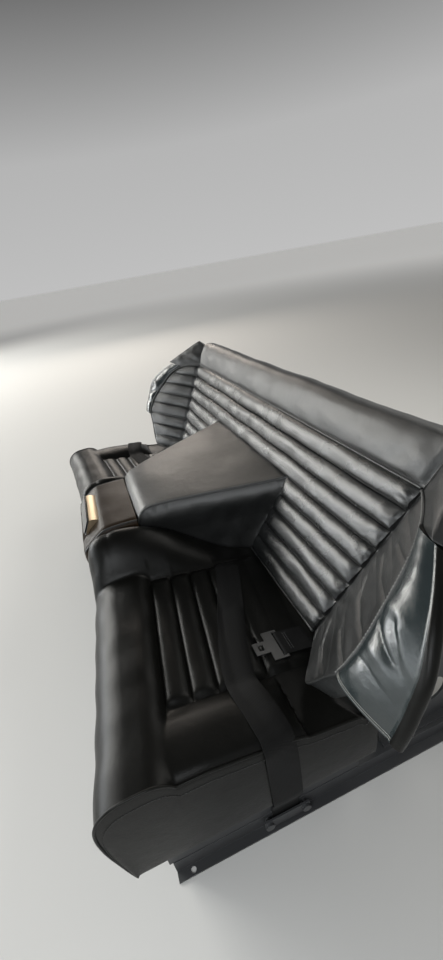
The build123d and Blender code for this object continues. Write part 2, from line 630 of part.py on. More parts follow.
def about_hinge(edges, half):
    """An outline about the ashtray's hinge, extruded to both sides."""
    return Pos(0, TRAY_HINGE_Y, TRAY_HINGE_Z) * outline_prism(side_plane(), edges, half, both=True)


def hinge_bore(radius):
    """The bore along the ashtray's hinge."""
    return Pos(0, TRAY_HINGE_Y, TRAY_HINGE_Z) * Rot(0, 90, 0) * Cylinder(radius, 3 * TRAY_HALF)


def ashtray_hood():
    """The bright hood over the tip-out bin: a top, two sides and a round back, let into the saddle."""
    t = HOOD_SHEET
    hood = about_hinge(hood_outline(TRAY_REACH, HOOD_RADIUS, TRAY_LOW), TRAY_HALF)
    inside = hood_outline(TRAY_REACH + TRAY_GAP, HOOD_RADIUS - t, TRAY_LOW - t)
    return hood - about_hinge(inside, TRAY_HALF - t) - hinge_bore(PIN_RADIUS)


def ashtray_bin():
    """The tip-out bin, open at the top, with a back that is round about the hinge."""
    w = TRAY_WALL
    half = TRAY_HALF - HOOD_SHEET - TRAY_GAP
    body = about_hinge(bin_outline(TRAY_REACH, TRAY_RADIUS, TRAY_LOW, TRAY_OPENING), half)
    inside = bin_outline(TRAY_REACH - w - w * TAN_FACE, TRAY_RADIUS - w, TRAY_LOW + w, TRAY_OPENING * 1.4)
    return body - about_hinge(inside, half - w) - hinge_bore(PIN_RADIUS + PIN_CLEARANCE)


def ashtray_face():
    """The glossy plate before the bin, leaning back over it, with rounded corners."""
    lean = radians(FACE_LEAN)
    foot = (0, TRAY_HINGE_Y - TRAY_REACH - (TRAY_LOW + FACE_BELOW) * TAN_FACE, TRAY_HINGE_Z - FACE_BELOW)
    plane = Plane(origin=foot, x_dir=(1, 0, 0), z_dir=(0, -cos(lean), sin(lean)))
    h, top, c, k = FACE_HALF, FACE_HEIGHT, FACE_CORNER, FACE_TOP_CORNER
    j, i = c * (1 - HALF_ROOT), k * (1 - HALF_ROOT)
    edges = [
        Line((-h + c, 0), (h - c, 0)),
        ThreePointArc((h - c, 0), (h - j, j), (h, c)),
        Line((h, c), (h, top - k)),
        ThreePointArc((h, top - k), (h - i, top - i), (h - k, top)),
        Line((h - k, top), (-h + k, top)),
        ThreePointArc((-h + k, top), (-h + i, top - i), (-h, top - k)),
        Line((-h, top - k), (-h, c)),
        ThreePointArc((-h, c), (-h + j, j), (-h + c, 0)),
    ]
    plate = outline_prism(plane.offset(FACE_GAP), edges, FACE_THICK)
    w = TRAY_HALF - HOOD_SHEET - 2 * TRAY_GAP
    return plate + prism(plane, [(-w, 0), (w, 0), (w, WEB_HEIGHT), (-w, WEB_HEIGHT)], FACE_GAP)


def ashtray_pivot():
    """The headed pivot through the left side of the hood into the bin."""
    inner = TRAY_HALF - HOOD_SHEET - TRAY_GAP - TRAY_WALL - GAP
    head = HOOD_SHEET
    shank = Pos((inner + TRAY_HALF) / 2, 0, 0) * Rot(0, 90, 0) * Cylinder(PIN_RADIUS, TRAY_HALF - inner)
    cap = Pos(TRAY_HALF + head / 2, 0, 0) * Rot(0, 90, 0) * Cylinder(PIN_HEAD, head)
    return Pos(0, TRAY_HINGE_Y, TRAY_HINGE_Z) * (shank + cap)


def ribbon(run, thick):
    """A run of points and the same run moved over by a thickness, as one closed outline."""
    moved = []
    for i, (x, z) in enumerate(run):
        (ax, az), (bx, bz) = run[max(i - 1, 0)], run[min(i + 1, len(run) - 1)]
        normals = []
        for (px, pz), (qx, qz) in (((ax, az), (x, z)), ((x, z), (bx, bz))):
            length = sqrt((qx - px) ** 2 + (qz - pz) ** 2)
            if length:
                normals.append((-(qz - pz) / length, (qx - px) / length))
        nx = sum(n[0] for n in normals)
        nz = sum(n[1] for n in normals)
        scale = thick * len(normals) / (nx * nx + nz * nz)
        moved.append((x + nx * scale, z + nz * scale))
    return run + moved[::-1]


def strap():
    """The lap strap laid over the cushion, over its border and down the outside."""
    plane = front_plane(STRAP_WIDTH / 2)
    web = prism(plane, ribbon(STRAP_RUN, STRAP_THICK), STRAP_WIDTH)
    over = prism(plane, ribbon(STRAP_OVER, STRAP_THICK), STRAP_WIDTH)
    turn = Pos(STRAP_RUN[-1][0], 0, 0) * Rot(0, 0, STRAP_OVER_TURN - STRAP_TURN)
    return Pos(*STRAP_START, 0) * Rot(0, 0, STRAP_TURN) * (web + turn * over)


def strap_clamp():
    """The plate and two bolts that hold the strap's lower end against the outer rail's side."""
    wall = RAIL_OUTER_X + RAIL_WIDTH / 2
    thick, long, high = CLAMP_PLATE
    shank, head, cap = CLAMP_BOLT
    face = CLAMP_STAND + thick
    clamp = Pos(CLAMP_STAND + thick / 2, 0, 0) * Box(thick, long, high)
    for y in (head - long / 2, long / 2 - head):
        clamp = clamp + Pos(face / 2, y, 0) * Rot(0, 90, 0) * Cylinder(shank, face)
        clamp = clamp + Pos(face + cap / 2, y, 0) * Rot(0, 90, 0) * Cylinder(head, cap)
    return Pos(wall, CLAMP_Y, FLOOR + CLAMP_RISE) * clamp


def tail():
    """The short half of the strap, out of the gap under the backrest to its tongue."""
    web = ribbon(TAIL_RUN, -STRAP_THICK)
    return prism(side_plane(TAIL_X - STRAP_WIDTH / 2), web, STRAP_WIDTH)


def tongue():
    """The bright tongue at the end of the strap's short half, lying on the cushion."""
    wide, deep = TONGUE_BAR
    tab_wide, tab_deep = TONGUE_TAB
    t = TONGUE_THICK
    tab = Pos(0, -deep - tab_deep / 2, 0)
    plate = Pos(0, -deep / 2, 0) * Box(wide, deep, t) + tab * Box(tab_wide, tab_deep, t)
    slot = Pos(0, -TONGUE_SLOT[1], 0) * Box(*TONGUE_SLOT, 2 * t)
    window = tab * Box(*TONGUE_WINDOW, 2 * t)
    return Pos(TAIL_X, TONGUE_Y, TONGUE_Z) * Rot(TONGUE_TILT, 0, 0) * (plate - slot - window)


PIECES = {}


def place(name, piece):
    """Moves a piece from the seat's frame over the floor and keeps it under its name."""
    PIECES[name] = ON_FLOOR * piece


def place_pair(name, piece):
    """Keeps a left piece and its mirror image on the right."""
    place(name + "_left", piece)
    place(name + "_right", mirror(piece, about=Plane.YZ))


place("backrest_pad", backrest_pad())
place("backrest_band", backrest_band())
place("back_board", back_board())
place("armrest_pad", armrest_pad())
place("saddle_pad", saddle_pad())
place("tunnel_arch", tunnel_arch())
place_pair("wing_pad", wing_pad())
place_pair("wing_border", wing_border())
place_pair("wing_gusset", wing_gusset())
place_pair("wing_board", wing_board())
place_pair("cushion", cushion())
place_pair("pan", pan())
place_pair("inner_rail", rail(RAIL_INNER_X))
place_pair("outer_rail", rail(RAIL_OUTER_X))
place_pair("back_stay", back_stay())
place_pair("wing_stay", wing_stay())
place_pair("strap", strap())
place_pair("strap_clamp", strap_clamp())
place_pair("tail", tail())
place_pair("tongue", tongue())
place("ashtray_hood", ashtray_hood())
place("ashtray_bin", ashtray_bin())
place("ashtray_face", ashtray_face())
place_pair("ashtray_pivot", ashtray_pivot())

os.makedirs("parts", exist_ok=True)
for name, piece in PIECES.items():
    export_step(piece, f"parts/{name}.step")
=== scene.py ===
"""Looks of the rear seat of a two-plus-two coupe: black vinyl covers with stuffed pleats, seams, piping
and creases, a bright ashtray and woven straps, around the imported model.

Sizes are in millimetres in the seat's own frame, whose X axis is the backrest's lower seam. They become
metres over the floor when a mesh is made. One-sided pieces are made for the left side and mirrored for the
right, with side 1 and -1."""

from math import radians, sin, cos, tan, pi
import bmesh
import bpy
import numpy as np
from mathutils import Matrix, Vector


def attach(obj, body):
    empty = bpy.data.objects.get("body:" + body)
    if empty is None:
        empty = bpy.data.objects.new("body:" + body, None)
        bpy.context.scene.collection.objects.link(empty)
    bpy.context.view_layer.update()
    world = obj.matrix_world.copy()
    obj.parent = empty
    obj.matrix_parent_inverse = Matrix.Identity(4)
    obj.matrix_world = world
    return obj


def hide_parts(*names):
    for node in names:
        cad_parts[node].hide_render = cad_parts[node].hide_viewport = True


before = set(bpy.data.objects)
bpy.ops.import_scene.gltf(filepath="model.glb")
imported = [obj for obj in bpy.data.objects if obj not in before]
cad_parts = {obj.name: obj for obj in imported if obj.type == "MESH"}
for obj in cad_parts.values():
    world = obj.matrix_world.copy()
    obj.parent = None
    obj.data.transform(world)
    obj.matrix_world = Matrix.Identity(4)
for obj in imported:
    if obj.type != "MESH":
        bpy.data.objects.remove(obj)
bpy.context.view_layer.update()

MM = 0.001
SEAM_Y = 51.0              # the lower seam over the row's own origin
SEAM_Z = 215.0
SIDES = (("left", 1), ("right", -1))
MIRROR = (-1, 1, 1)

# The backrest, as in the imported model
RECLINE = radians(28.0)
LEAN_S, LEAN_C = sin(RECLINE), cos(RECLINE)
PLEATS = 8
SPLIT_PLEATS = 5           # pleats that stop at the armrest
PITCH = 37.7
BULGE = 10.5
PLEAT_SAG = 0.20           # how far below its middle a pleat stands fullest, in half pitches
PLEAT_END = 26.0           # the length over which a pleat's end is pinched in
BEHIND_ARM = -3.0          # height of the face where the armrest hides it
BACK_LOW = 449.0
BACK_SEAM = 517.0
BACK_LENGTH = PLEATS * PITCH
BACK_THICK = 77.0
BAND_SEAM = 303.0          # height of the seam between the pleats and the band
BAND_TOP = 386.0
BAND_FLARE = 18.0
BAND_CROWD = 0.93          # how closely the band's columns crowd at its ends
PIPING = 3.2               # radius of the piping

# Armrest and saddle
ARM_REAR = 217.0
ARM_FRONT = 113.0
ARM_LENGTH = 284.0
ARM_DROP = 23.0
ARM_BASE = -60.0
ARM_INSET = 4.5            # of the top panel's seam from the side
ARM_SHOULDER = 4.0         # how far the top panel's edge turns down to that seam
ARM_SEAM = SPLIT_PLEATS * PITCH
ARM_Y, ARM_Z = ARM_SEAM * LEAN_S, ARM_SEAM * LEAN_C
NOSE_Y, NOSE_Z = ARM_Y - ARM_LENGTH, ARM_Z - ARM_DROP
NOSE_FRONT = -226.0
SADDLE_TOP = 122.0
SADDLE_HALF = 114.0
SADDLE_BASE = 47.0
HINGE_Y, HINGE_Z = -322.0, 93.5
HOOD_RADIUS = 30.5

# Cushions
CUSHION_IN = 117.0
CUSHION_OUT = 598.0
CUSHION_REAR = 12.0
CUSHION_BASE = -124.0
CUSHION_FRONT = -386.0     # of the roll's outer end
TOE = tan(radians(4.5))    # the roll's turn, outer end forward
ROLL = 56.0
ROLL_TOP = 52.0
ROLL_CENTRE = -4.0
CUSHION_BELLY = 3.0        # how far the outer side swells

# Wings
WING_FORWARD = radians(41.8)
WING_THICK = 41.5


def place(points):
    """Points of the seat's frame in millimetres, as metres over the floor."""
    return (np.asarray(points, float) + (0.0, SEAM_Y, SEAM_Z)) * MM


def stacked(*axes):
    """Points from arrays of their coordinates."""
    return np.stack(np.broadcast_arrays(*axes), -1)


def lean(x, s, n):
    """A point from its place across, its height up the backrest and its distance off the face."""
    return stacked(x, s * LEAN_S - n * LEAN_C, s * LEAN_C + n * LEAN_S)


def smooth(t):
    """An eased step from 0 to 1."""
    t = np.clip(t, 0.0, 1.0)
    return t * t * (3.0 - 2.0 * t)


def near_end(x, half, reach):
    """An eased step from 0 to 1 over the last stretch before either side."""
    return smooth((np.abs(x) - half + reach) / reach)


def turned(share):
    """How far a quarter round has turned down, at a share of its width."""
    return 1.0 - np.sqrt(1.0 - np.clip(share, 0.0, 1.0) ** 2)


def pleat_puff(k):
    """How full an even pleat stands, at a place counted in pleats."""
    phase = np.abs(k - np.floor(k) - 0.5) * 2
    return (1 - phase**2.2) ** 0.6


def crowded(count, power):
    """Places from -1 to 1 that crowd towards both ends."""
    across = np.linspace(-1, 1, count)
    return np.sign(across) * (1 - (1 - np.abs(across)) ** power)


def ripple(points, size, seed, count=14):
    """Seeded unevenness of about -1 to 1 at the points, in features of about that size."""
    rng = np.random.default_rng(seed)
    k = rng.normal(size=(count, points.shape[-1]))
    k *= (2 * pi / size) * rng.uniform(0.6, 1.5, (count, 1)) / np.linalg.norm(k, axis=1, keepdims=True)
    phase = rng.uniform(0, 2 * pi, count)
    return np.sin(points @ k.T + phase).sum(-1) / np.sqrt(count)


def curve_through(points, count):
    """Evenly numbered points of a smooth curve through a few given ones."""
    p = np.asarray(points, float)
    q = np.vstack([2 * p[0] - p[1], p, 2 * p[-1] - p[-2]])
    t = np.linspace(0, len(p) - 1, count)
    i = np.minimum(t.astype(int), len(p) - 2)
    f = (t - i)[:, None]
    a, b, c, d = q[i], q[i + 1], q[i + 2], q[i + 3]
    return 0.5 * (2 * b + (c - a) * f + (2 * a - 5 * b + 4 * c - d) * f**2 + (3 * b - a - 3 * c + d) * f**3)


def line_distance(points, line):
    """Distance of each point of a flat grid from a run of straight lines."""
    line = np.asarray(line, float)
    nearest = np.full(points.shape[:-1], np.inf)
    for a, b in zip(line[:-1], line[1:]):
        d = b - a
        t = np.clip(((points - a) @ d) / (d @ d), 0.0, 1.0)
        nearest = np.minimum(nearest, np.linalg.norm(points - a - t[..., None] * d, axis=-1))
    return nearest


def fold(points, line, width, height, sharp=1.6):
    """A ridge along a line, or a crease if the height is negative."""
    return height * np.exp(-((line_distance(points, line) / width) ** sharp))


def unit(vectors):
    """The vectors, each at length 1."""
    return vectors / np.linalg.norm(vectors, axis=-1, keepdims=True)


def path_normals(path):
    """The unit normals of a side-view path, upward at its start."""
    tangent = unit(np.gradient(path, axis=0))
    normal = np.stack([tangent[:, 1], -tangent[:, 0]], -1)
    return normal * np.sign(normal[:1, 1:2])


def lifted(x, path, lift):
    """The points of a side-view path swept across the car and lifted along the path's normals."""
    y, z = path.T[:, :, None]
    ny, nz = path_normals(path).T[:, :, None]
    return stacked(x, y + ny * lift, z + nz * lift)


def mesh_object(name, verts, faces, material, sharp=40, slot="vinyl"):
    """A smooth-shaded mesh that rides on the seat and keeps the edges over an angle sharp."""
    mesh = bpy.data.meshes.new(name)
    mesh.from_pydata(place(verts).tolist(), [], [tuple(int(i) for i in f) for f in faces])
    mesh.validate()
    mesh.polygons.foreach_set("use_smooth", [True] * len(mesh.polygons))
    mesh.set_sharp_from_angle(angle=radians(sharp))
    mesh.materials.append(material)
    piece = bpy.data.objects.new(name, mesh)
    bpy.context.scene.collection.objects.link(piece)
    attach(piece, "seat")
    return piece


def grid_faces(n, m, start=0, flip=False):
    """Quads of an n by m grid of points."""
    i, j = np.meshgrid(np.arange(n - 1), np.arange(m - 1), indexing="ij")
    a = start + i * m + j
    quads = np.stack([a, a + 1, a + m + 1, a + m], -1).reshape(-1, 4)
    return quads[:, ::-1] if flip else quads


def slab(front, back):
    """Vertices and faces of a closed solid between two grids of the same shape, with the faces outward."""
    n, m = front.shape[:2]
    verts = np.concatenate([front.reshape(-1, 3), back.reshape(-1, 3)])
    size = n * m
    ring = np.concatenate([
        np.arange(m), np.arange(1, n) * m + m - 1,
        (n - 1) * m + np.arange(m - 2, -1, -1), np.arange(n - 2, 0, -1) * m])
    after = np.roll(ring, -1)
    rim = np.stack([ring, ring + size, after + size, after], -1)
    faces = np.concatenate([grid_faces(n, m), grid_faces(n, m, size, True), rim])
    v = verts[faces]
    volume = 0.0
    for a, b, c in ((0, 1, 2), (0, 2, 3)):
        volume += np.einsum("ij,ij->i", v[:, a], np.cross(v[:, b], v[:, c])).sum()
    return verts, faces if volume > 0 else faces[:, ::-1]


def pad(name, front, back, material, stands_for, side=1):
    """A closed cushion between two grids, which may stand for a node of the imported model."""
    verts, faces = slab(front * (side, 1, 1), back * (side, 1, 1))
    piece = mesh_object(name, verts, faces, material)
    if stands_for:
        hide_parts(stands_for)
    return piece


def tube(run, radius):
    """Vertices and faces of a closed round cord along a run of points."""
    sides = 8
    tangent = unit(np.gradient(run, axis=0))
    side = np.cross(tangent[0], (0.3, 0.2, 1.0))       # any direction but the cord's own
    rings = []
    for q, t in zip(run, tangent):
        side = side - t * (side @ t)
        side /= np.linalg.norm(side)
        up = np.cross(t, side)
        a = np.arange(sides) * 2 * pi / sides
        rings.append(q + radius * (np.cos(a)[:, None] * side + np.sin(a)[:, None] * up))
    last = (len(run) - 1) * sides
    start, end = last + sides, last + sides + 1        # the points in the middle of the two ends
    faces = []
    for i in range(0, last, sides):
        for j in range(sides):
            k = (j + 1) % sides
            faces.append((i + j, i + k, i + sides + k, i + sides + j))
    for j in range(sides):
        k = (j + 1) % sides
        faces += [(start, k, j), (end, last + j, last + k)]
    return np.vstack([*rings, run[0], run[-1]]), faces


def merge(parts):
    """One mesh's vertices and faces from several."""
    verts, faces, start = [], [], 0
    for v, f in parts:
        verts.append(v)
        faces += [tuple(i + start for i in face) for face in f]
        start += len(v)
    return np.concatenate(verts), faces


def cords(name, runs, radius, material, side=1):
    """Piping along several runs, as one piece."""
    verts, faces = merge([tube(run * (side, 1, 1), radius) for run in runs])
    return mesh_object(name, verts, faces, material, sharp=60)


def walk(run, step):
    """Points a fixed step apart along a run, with the direction there."""
    near = 0.5
    length = np.concatenate([[0], np.cumsum(np.linalg.norm(np.diff(run, axis=0), axis=1))])
    at = np.arange(step / 2, length[-1], step)
    q, ahead, behind = (
        np.stack([np.interp(at + off, length, axis) for axis in run.T], -1) for off in (0.0, near, -near))
    d = ahead - behind
    return q, d / np.maximum(np.linalg.norm(d, axis=1, keepdims=True), 1e-9)


STITCH_STEP = 4.6
STITCH_LONG = 3.3
STITCH_WIDE = 0.55
STITCH_WAIST = 0.32        # where a stitch stands full, from its middle in its lengths
HEXAGON = [(0.0, 1.0), (0.87, 0.5), (0.87, -0.5), (0.0, -1.0), (-0.87, -0.5), (-0.87, 0.5)]


def stitches(name, runs, material, side=1):
    """Rows of short stitches along runs, each a small six-sided spindle, as one piece."""
    n = len(HEXAGON)
    faces = []
    for j in range(n):
        k = (j + 1) % n
        faces += [(0, 1 + k, 1 + j), (1 + j, 1 + k, n + 1 + k, n + 1 + j),
                  (2 * n + 1, n + 1 + j, n + 1 + k)]
    parts = []
    for run in runs:
        for q, d in zip(*walk(run * (side, 1, 1), STITCH_STEP)):
            aside = np.cross(d, (0.31, 0.22, 0.93))    # any direction but the run's own
            aside /= np.linalg.norm(aside)
            up = np.cross(aside, d)
            rings = [q + d * t * STITCH_LONG + STITCH_WIDE * (a * aside + b * up)
                     for t in (-STITCH_WAIST, STITCH_WAIST) for a, b in HEXAGON]
            parts.append((np.array([q - d * STITCH_LONG / 2, *rings, q + d * STITCH_LONG / 2]), faces))
    verts, faces = merge(parts)
    return mesh_object(name, verts, faces, material, sharp=80)


def arm_half(y):
    """Half width of the armrest at a place along the car."""
    return ARM_FRONT + (ARM_REAR - ARM_FRONT) * np.clip((y - NOSE_Y) / ARM_LENGTH, 0.0, 1.3)


def back_half(s):
    """Half width of the backrest at a height up its slope."""
    return BACK_LOW + (BACK_SEAM - BACK_LOW) * s / BACK_LENGTH


# Materials


def new_material(name):
    """A material with its node tree, its shader and the place on the object."""
    material = bpy.data.materials.new(name)
    material.use_nodes = True
    tree = material.node_tree
    where = tree.nodes.new("ShaderNodeTexCoord").outputs["Object"]
    return material, tree, tree.nodes["Principled BSDF"], where


def node(tree, kind, links=(), **values):
    """A shader node with its properties and constant inputs set, and some inputs linked."""
    made = tree.nodes.new(kind)
    for key, value in values.items():
        if hasattr(made, key) and key not in made.inputs:
            setattr(made, key, value)
        else:
            made.inputs[key.replace("_", " ")].default_value = value
    for name, socket in links:
        tree.links.new(socket, made.inputs[name])
    return made


def maths(tree, operation, a, b):
    """Two values added, multiplied or compared."""
    return node(tree, "ShaderNodeMath", [(0, a), (1, b)], operation=operation).outputs["Value"]


def clouds(tree, where, scale, detail, roughness):
    """Soft noise, in smaller features as the scale grows."""
    links = [("Vector", where)]
    made = node(tree, "ShaderNodeTexNoise", links, Scale=scale, Detail=detail, Roughness=roughness)
    return made.outputs["Fac"]


def bump(tree, height, strength, distance, *under):
    """A normal bumped by a height, over another bumped normal where one is given."""
    links = [("Height", height)] + [("Normal", normal) for normal in under]
    return node(tree, "ShaderNodeBump", links, Strength=strength, Distance=distance).outputs["Normal"]


def ramp(tree, fac, stops):
    """A grey from a value, by stops of a place and a shade."""
    made = tree.nodes.new("ShaderNodeValToRGB")
    elements = made.color_ramp.elements
    for element, (at, shade) in ((elements[0], stops[0]), (elements[1], stops[-1])):
        element.position = at
        element.color = (shade, shade, shade, 1.0)
    for at, shade in stops[1:-1]:
        elements.new(at).color = (shade, shade, shade, 1.0)
    tree.links.new(fac, made.inputs["Fac"])
    return made.outputs["Color"]


def tint(color, share):
    """A colour made lighter or darker."""
    return (*[min(1.0, c * share) for c in color], 1.0)


def mix(tree, factor, low, high):
    """Two colours mixed by a factor, each of them a value or another node's output."""
    made = node(tree, "ShaderNodeMix", [("Factor", factor)], data_type="RGBA")
    for at, color in ((6, low), (7, high)):            # the node's two colour inputs
        if isinstance(color, tuple):
            made.inputs[at].default_value = color
        else:
            tree.links.new(color, made.inputs[at])
    return made.outputs[2]


def vinyl(name, color, rough_low, rough_high, grain=0.35, specular=0.55, wrinkle=0.22, scuffs=5.0):
    """Grained black vinyl: cells with valleys between them, wrinkles, glossier patches and pale scuffs."""
    material, tree, shader, where = new_material(name)
    cells = node(tree, "ShaderNodeTexVoronoi", [("Vector", where)], feature="DISTANCE_TO_EDGE", Scale=760.0)
    valley = ramp(tree, cells.outputs["Distance"], [(0.0, 0.0), (0.10, 1.0)])
    normal = bump(tree, valley, grain, 0.0003)
    normal = bump(tree, clouds(tree, where, 420.0, 2.0, 0.5), 0.25, 0.0004, normal)
    normal = bump(tree, clouds(tree, where, 38.0, 3.0, 0.55), wrinkle, 0.004, normal)
    tree.links.new(normal, shader.inputs["Normal"])
    patches = clouds(tree, where, 7.0, 4.0, 0.6)
    rough = ramp(tree, patches, [(0.3, rough_low), (0.7, rough_high)])
    tree.links.new(rough, shader.inputs["Roughness"])
    stretched = node(tree, "ShaderNodeMapping", [("Vector", where)], Scale=(26.0, 90.0, 150.0),
                     Rotation=(0.3, 0.5, 0.4))
    scratches = clouds(tree, stretched.outputs["Vector"], 1.0, 3.0, 0.5)
    marks = maths(tree, "MULTIPLY", scratches, clouds(tree, where, 11.0, 2.0, 0.5))
    scuff = ramp(tree, marks, [(0.455, 0.0), (0.52, 1.0)])
    crest = tree.nodes.new("ShaderNodeNewGeometry").outputs["Pointiness"]
    wear = maths(tree, "MAXIMUM", scuff, ramp(tree, crest, [(0.545, 0.0), (0.64, 1.0)]))
    tone = mix(tree, patches, tint(color, 0.75), tint(color, 1.35))
    tree.links.new(mix(tree, wear, tone, tint(color, scuffs)), shader.inputs["Base Color"])
    shader.inputs["Specular IOR Level"].default_value = specular
    return material


def rubbed_edges(tree, patches):
    """How far an edge is rubbed: from 0 on a flat to 1 where the surface turns over, in patches."""
    bevel = node(tree, "ShaderNodeBevel", samples=4, Radius=0.0012)
    facing = tree.nodes.new("ShaderNodeNewGeometry").outputs["Normal"]
    links = [(0, bevel.outputs["Normal"]), (1, facing)]
    turn = node(tree, "ShaderNodeVectorMath", links, operation="DOT_PRODUCT").outputs["Value"]
    edge = ramp(tree, turn, [(0.86, 1.0), (0.985, 0.0)])
    return maths(tree, "MULTIPLY", edge, ramp(tree, patches, [(0.35, 0.25), (0.65, 1.0)]))


def plain(name, color, rough, metallic=0.0, noise=60.0, depth=0.0002, spread=0.12, edge=2.6):
    """A painted, moulded or metal finish, uneven in gloss and surface and rubbed along its edges."""
    material, tree, shader, where = new_material(name)
    patches = clouds(tree, where, 9.0, 6.0, 0.7)
    tone = mix(tree, patches, tint(color, 0.8), tint(color, 1.25))
    worn = mix(tree, rubbed_edges(tree, patches), tone, tint(color, edge))
    tree.links.new(worn, shader.inputs["Base Color"])
    gloss = ramp(tree, patches, [(0.3, rough - spread / 2), (0.7, rough + spread / 2)])
    tree.links.new(gloss, shader.inputs["Roughness"])
    uneven = clouds(tree, where, noise, 5.0, 0.6)
    tree.links.new(bump(tree, uneven, 0.3, depth), shader.inputs["Normal"])
    shader.inputs["Metallic"].default_value = metallic
    return material


def webbing(name, color):
    """Woven strap: a fine herringbone of ribs along and across."""
    material, tree, shader, where = new_material(name)
    ribs, weft = (
        node(tree, "ShaderNodeTexWave", [("Vector", where)], wave_type="BANDS", bands_direction=way,
             Scale=scale, Distortion=0.6).outputs["Fac"] for way, scale in (("Y", 170.0), ("X", 230.0)))
    normal = bump(tree, maths(tree, "ADD", ribs, weft), 0.45, 0.0004)
    tree.links.new(normal, shader.inputs["Normal"])
    tree.links.new(mix(tree, ribs, tint(color, 0.7), tint(color, 1.3)), shader.inputs["Base Color"])
    for key, value in (("Roughness", 0.7), ("Specular IOR Level", 0.14), ("Sheen Weight", 0.02)):
        shader.inputs[key].default_value = value
    return material


VINYL = vinyl("black_vinyl", (0.011, 0.0115, 0.0115), 0.27, 0.37)
# A darker, less glossy copy of the black vinyl: painted shade, standing for the shade that the cushions lie
# in
SHADED_VINYL = vinyl("painted_shade_vinyl", (0.0045, 0.0045, 0.004), 0.28, 0.34, grain=0.2, specular=0.16,
                      wrinkle=0.14)
PLEAT_VINYL = vinyl("pleat_vinyl", (0.009, 0.0095, 0.0095), 0.24, 0.30, grain=0.25, specular=0.60,
                    wrinkle=0.03, scuffs=1.4)
SADDLE_VINYL = vinyl("saddle_vinyl", (0.018, 0.011, 0.006), 0.27, 0.34, specular=0.15)
VINYL_GLOSS = vinyl("glossy_vinyl", (0.014, 0.019, 0.020), 0.13, 0.21, grain=0.2, specular=0.75)
THREAD = plain("black_thread", (0.035, 0.035, 0.035), 0.6, noise=900.0, edge=1.1)
# Pale grey thread: a painted glint, standing for the light that the black thread catches
GLINT_THREAD = plain("painted_glint_thread", (0.20, 0.20, 0.19), 0.5, noise=900.0, edge=1.1)
FRAME_PAINT = plain("frame_paint", (0.035, 0.036, 0.038), 0.45)
BOARD_PAINT = plain("board_paint", (0.03, 0.03, 0.032), 0.5)
CHROME = plain("chrome", (0.56, 0.45, 0.31), 0.36, metallic=1.0, spread=0.08, depth=0.00005, edge=1.2)
TONGUE_STEEL = plain("tongue_steel", (0.16, 0.16, 0.16), 0.34, metallic=1.0, spread=0.10, depth=0.00005,
                     edge=1.6)
STEEL = plain("tray_steel", (0.5, 0.5, 0.5), 0.35, metallic=1.0)
FACE = plain("tray_face", (0.015, 0.018, 0.020), 0.16, spread=0.06, depth=0.00005)
WEBBING = webbing("webbing", (0.006, 0.006, 0.006))


# Backrest

PLEAT_STEPS = 16           # rows of the grid to a pleat
BAND_PROFILE = [           # from the seam, over the top and down to the board, as height and depth
    (302.6, -3.5), (303.6, 1.8), (313.0, 5.6), (334.0, 7.6), (352.0, 6.2), (366.0, 2.6),
    (377.0, -4.0), (383.6, -15.0), (385.6, -30.0), (381.0, -54.0), (373.0, -77.0),
]


def pleat_height(x, s):
    """Height of the stuffed pleats over the creases, across and up the backrest's face."""
    k = np.clip((s / PITCH).astype(int), 0, PLEATS - 1)
    middle = (k + 0.5) * PITCH
    t = (s - middle) / (PITCH / 2)
    across = np.abs(t + PLEAT_SAG * (1.0 - t**2))
    inner = arm_half(middle * LEAN_S) + 2.0
    q = np.abs(x)
    split = k < SPLIT_PLEATS
    past = q - (back_half(middle) - PLEAT_END)
    past = np.where(split, np.maximum(past, inner + PLEAT_END - q), past)
    puff = (1.0 - np.clip(across, 0, 1) ** 2.9) ** 0.50
    pinch = 0.42 + 0.58 * np.sqrt(1.0 - np.clip(past / PLEAT_END, 0.0, 1.0) ** 2.6)
    fullness = 1.0 + 0.07 * ripple(stacked(x, s), 90.0, 5)
    return np.where(split & (q < inner), BEHIND_ARM, BULGE * puff * fullness * pinch)


def backrest():
    """The pleated face, gathered towards its ends, with the piping along its foot."""
    t = (1 - np.cos(np.linspace(0, pi, PLEAT_STEPS + 1))) / 2
    rows = np.concatenate([(k + t[:-1]) * PITCH for k in range(PLEATS)] + [[BACK_LENGTH]])
    s, q = np.meshgrid(rows, np.linspace(-1, 1, 321), indexing="ij")
    x = q * back_half(s)
    pucker = near_end(x, back_half(s), 60.0)
    n = pleat_height(x, np.minimum(s, BACK_LENGTH - 1e-3))
    n = n + 0.45 * ripple(stacked(x, s), 38.0, 7) * (0.3 + pucker)
    n = n + 0.9 * ripple(stacked(x * 0.35, s), 13.0, 8) * pucker**3 * (n > 1.0)
    wander = 0.8 * ripple(stacked(x, s * 0.5), 190.0, 3)
    wander = wander * smooth(s / 25.0) * smooth((BACK_LENGTH - s) / 25.0)
    pad("backrest_cover", lean(x, s + wander, n), lean(x, s, -BACK_THICK), PLEAT_VINYL, "backrest_pad")
    low = np.linspace(arm_half(0) + 4, BACK_LOW - 2, 90)
    foot = lean(low, -1.5, 1.0 + 0.6 * np.sin(low / 23.0))
    cords("backrest_piping", [foot * MIRROR, foot], PIPING, VINYL)


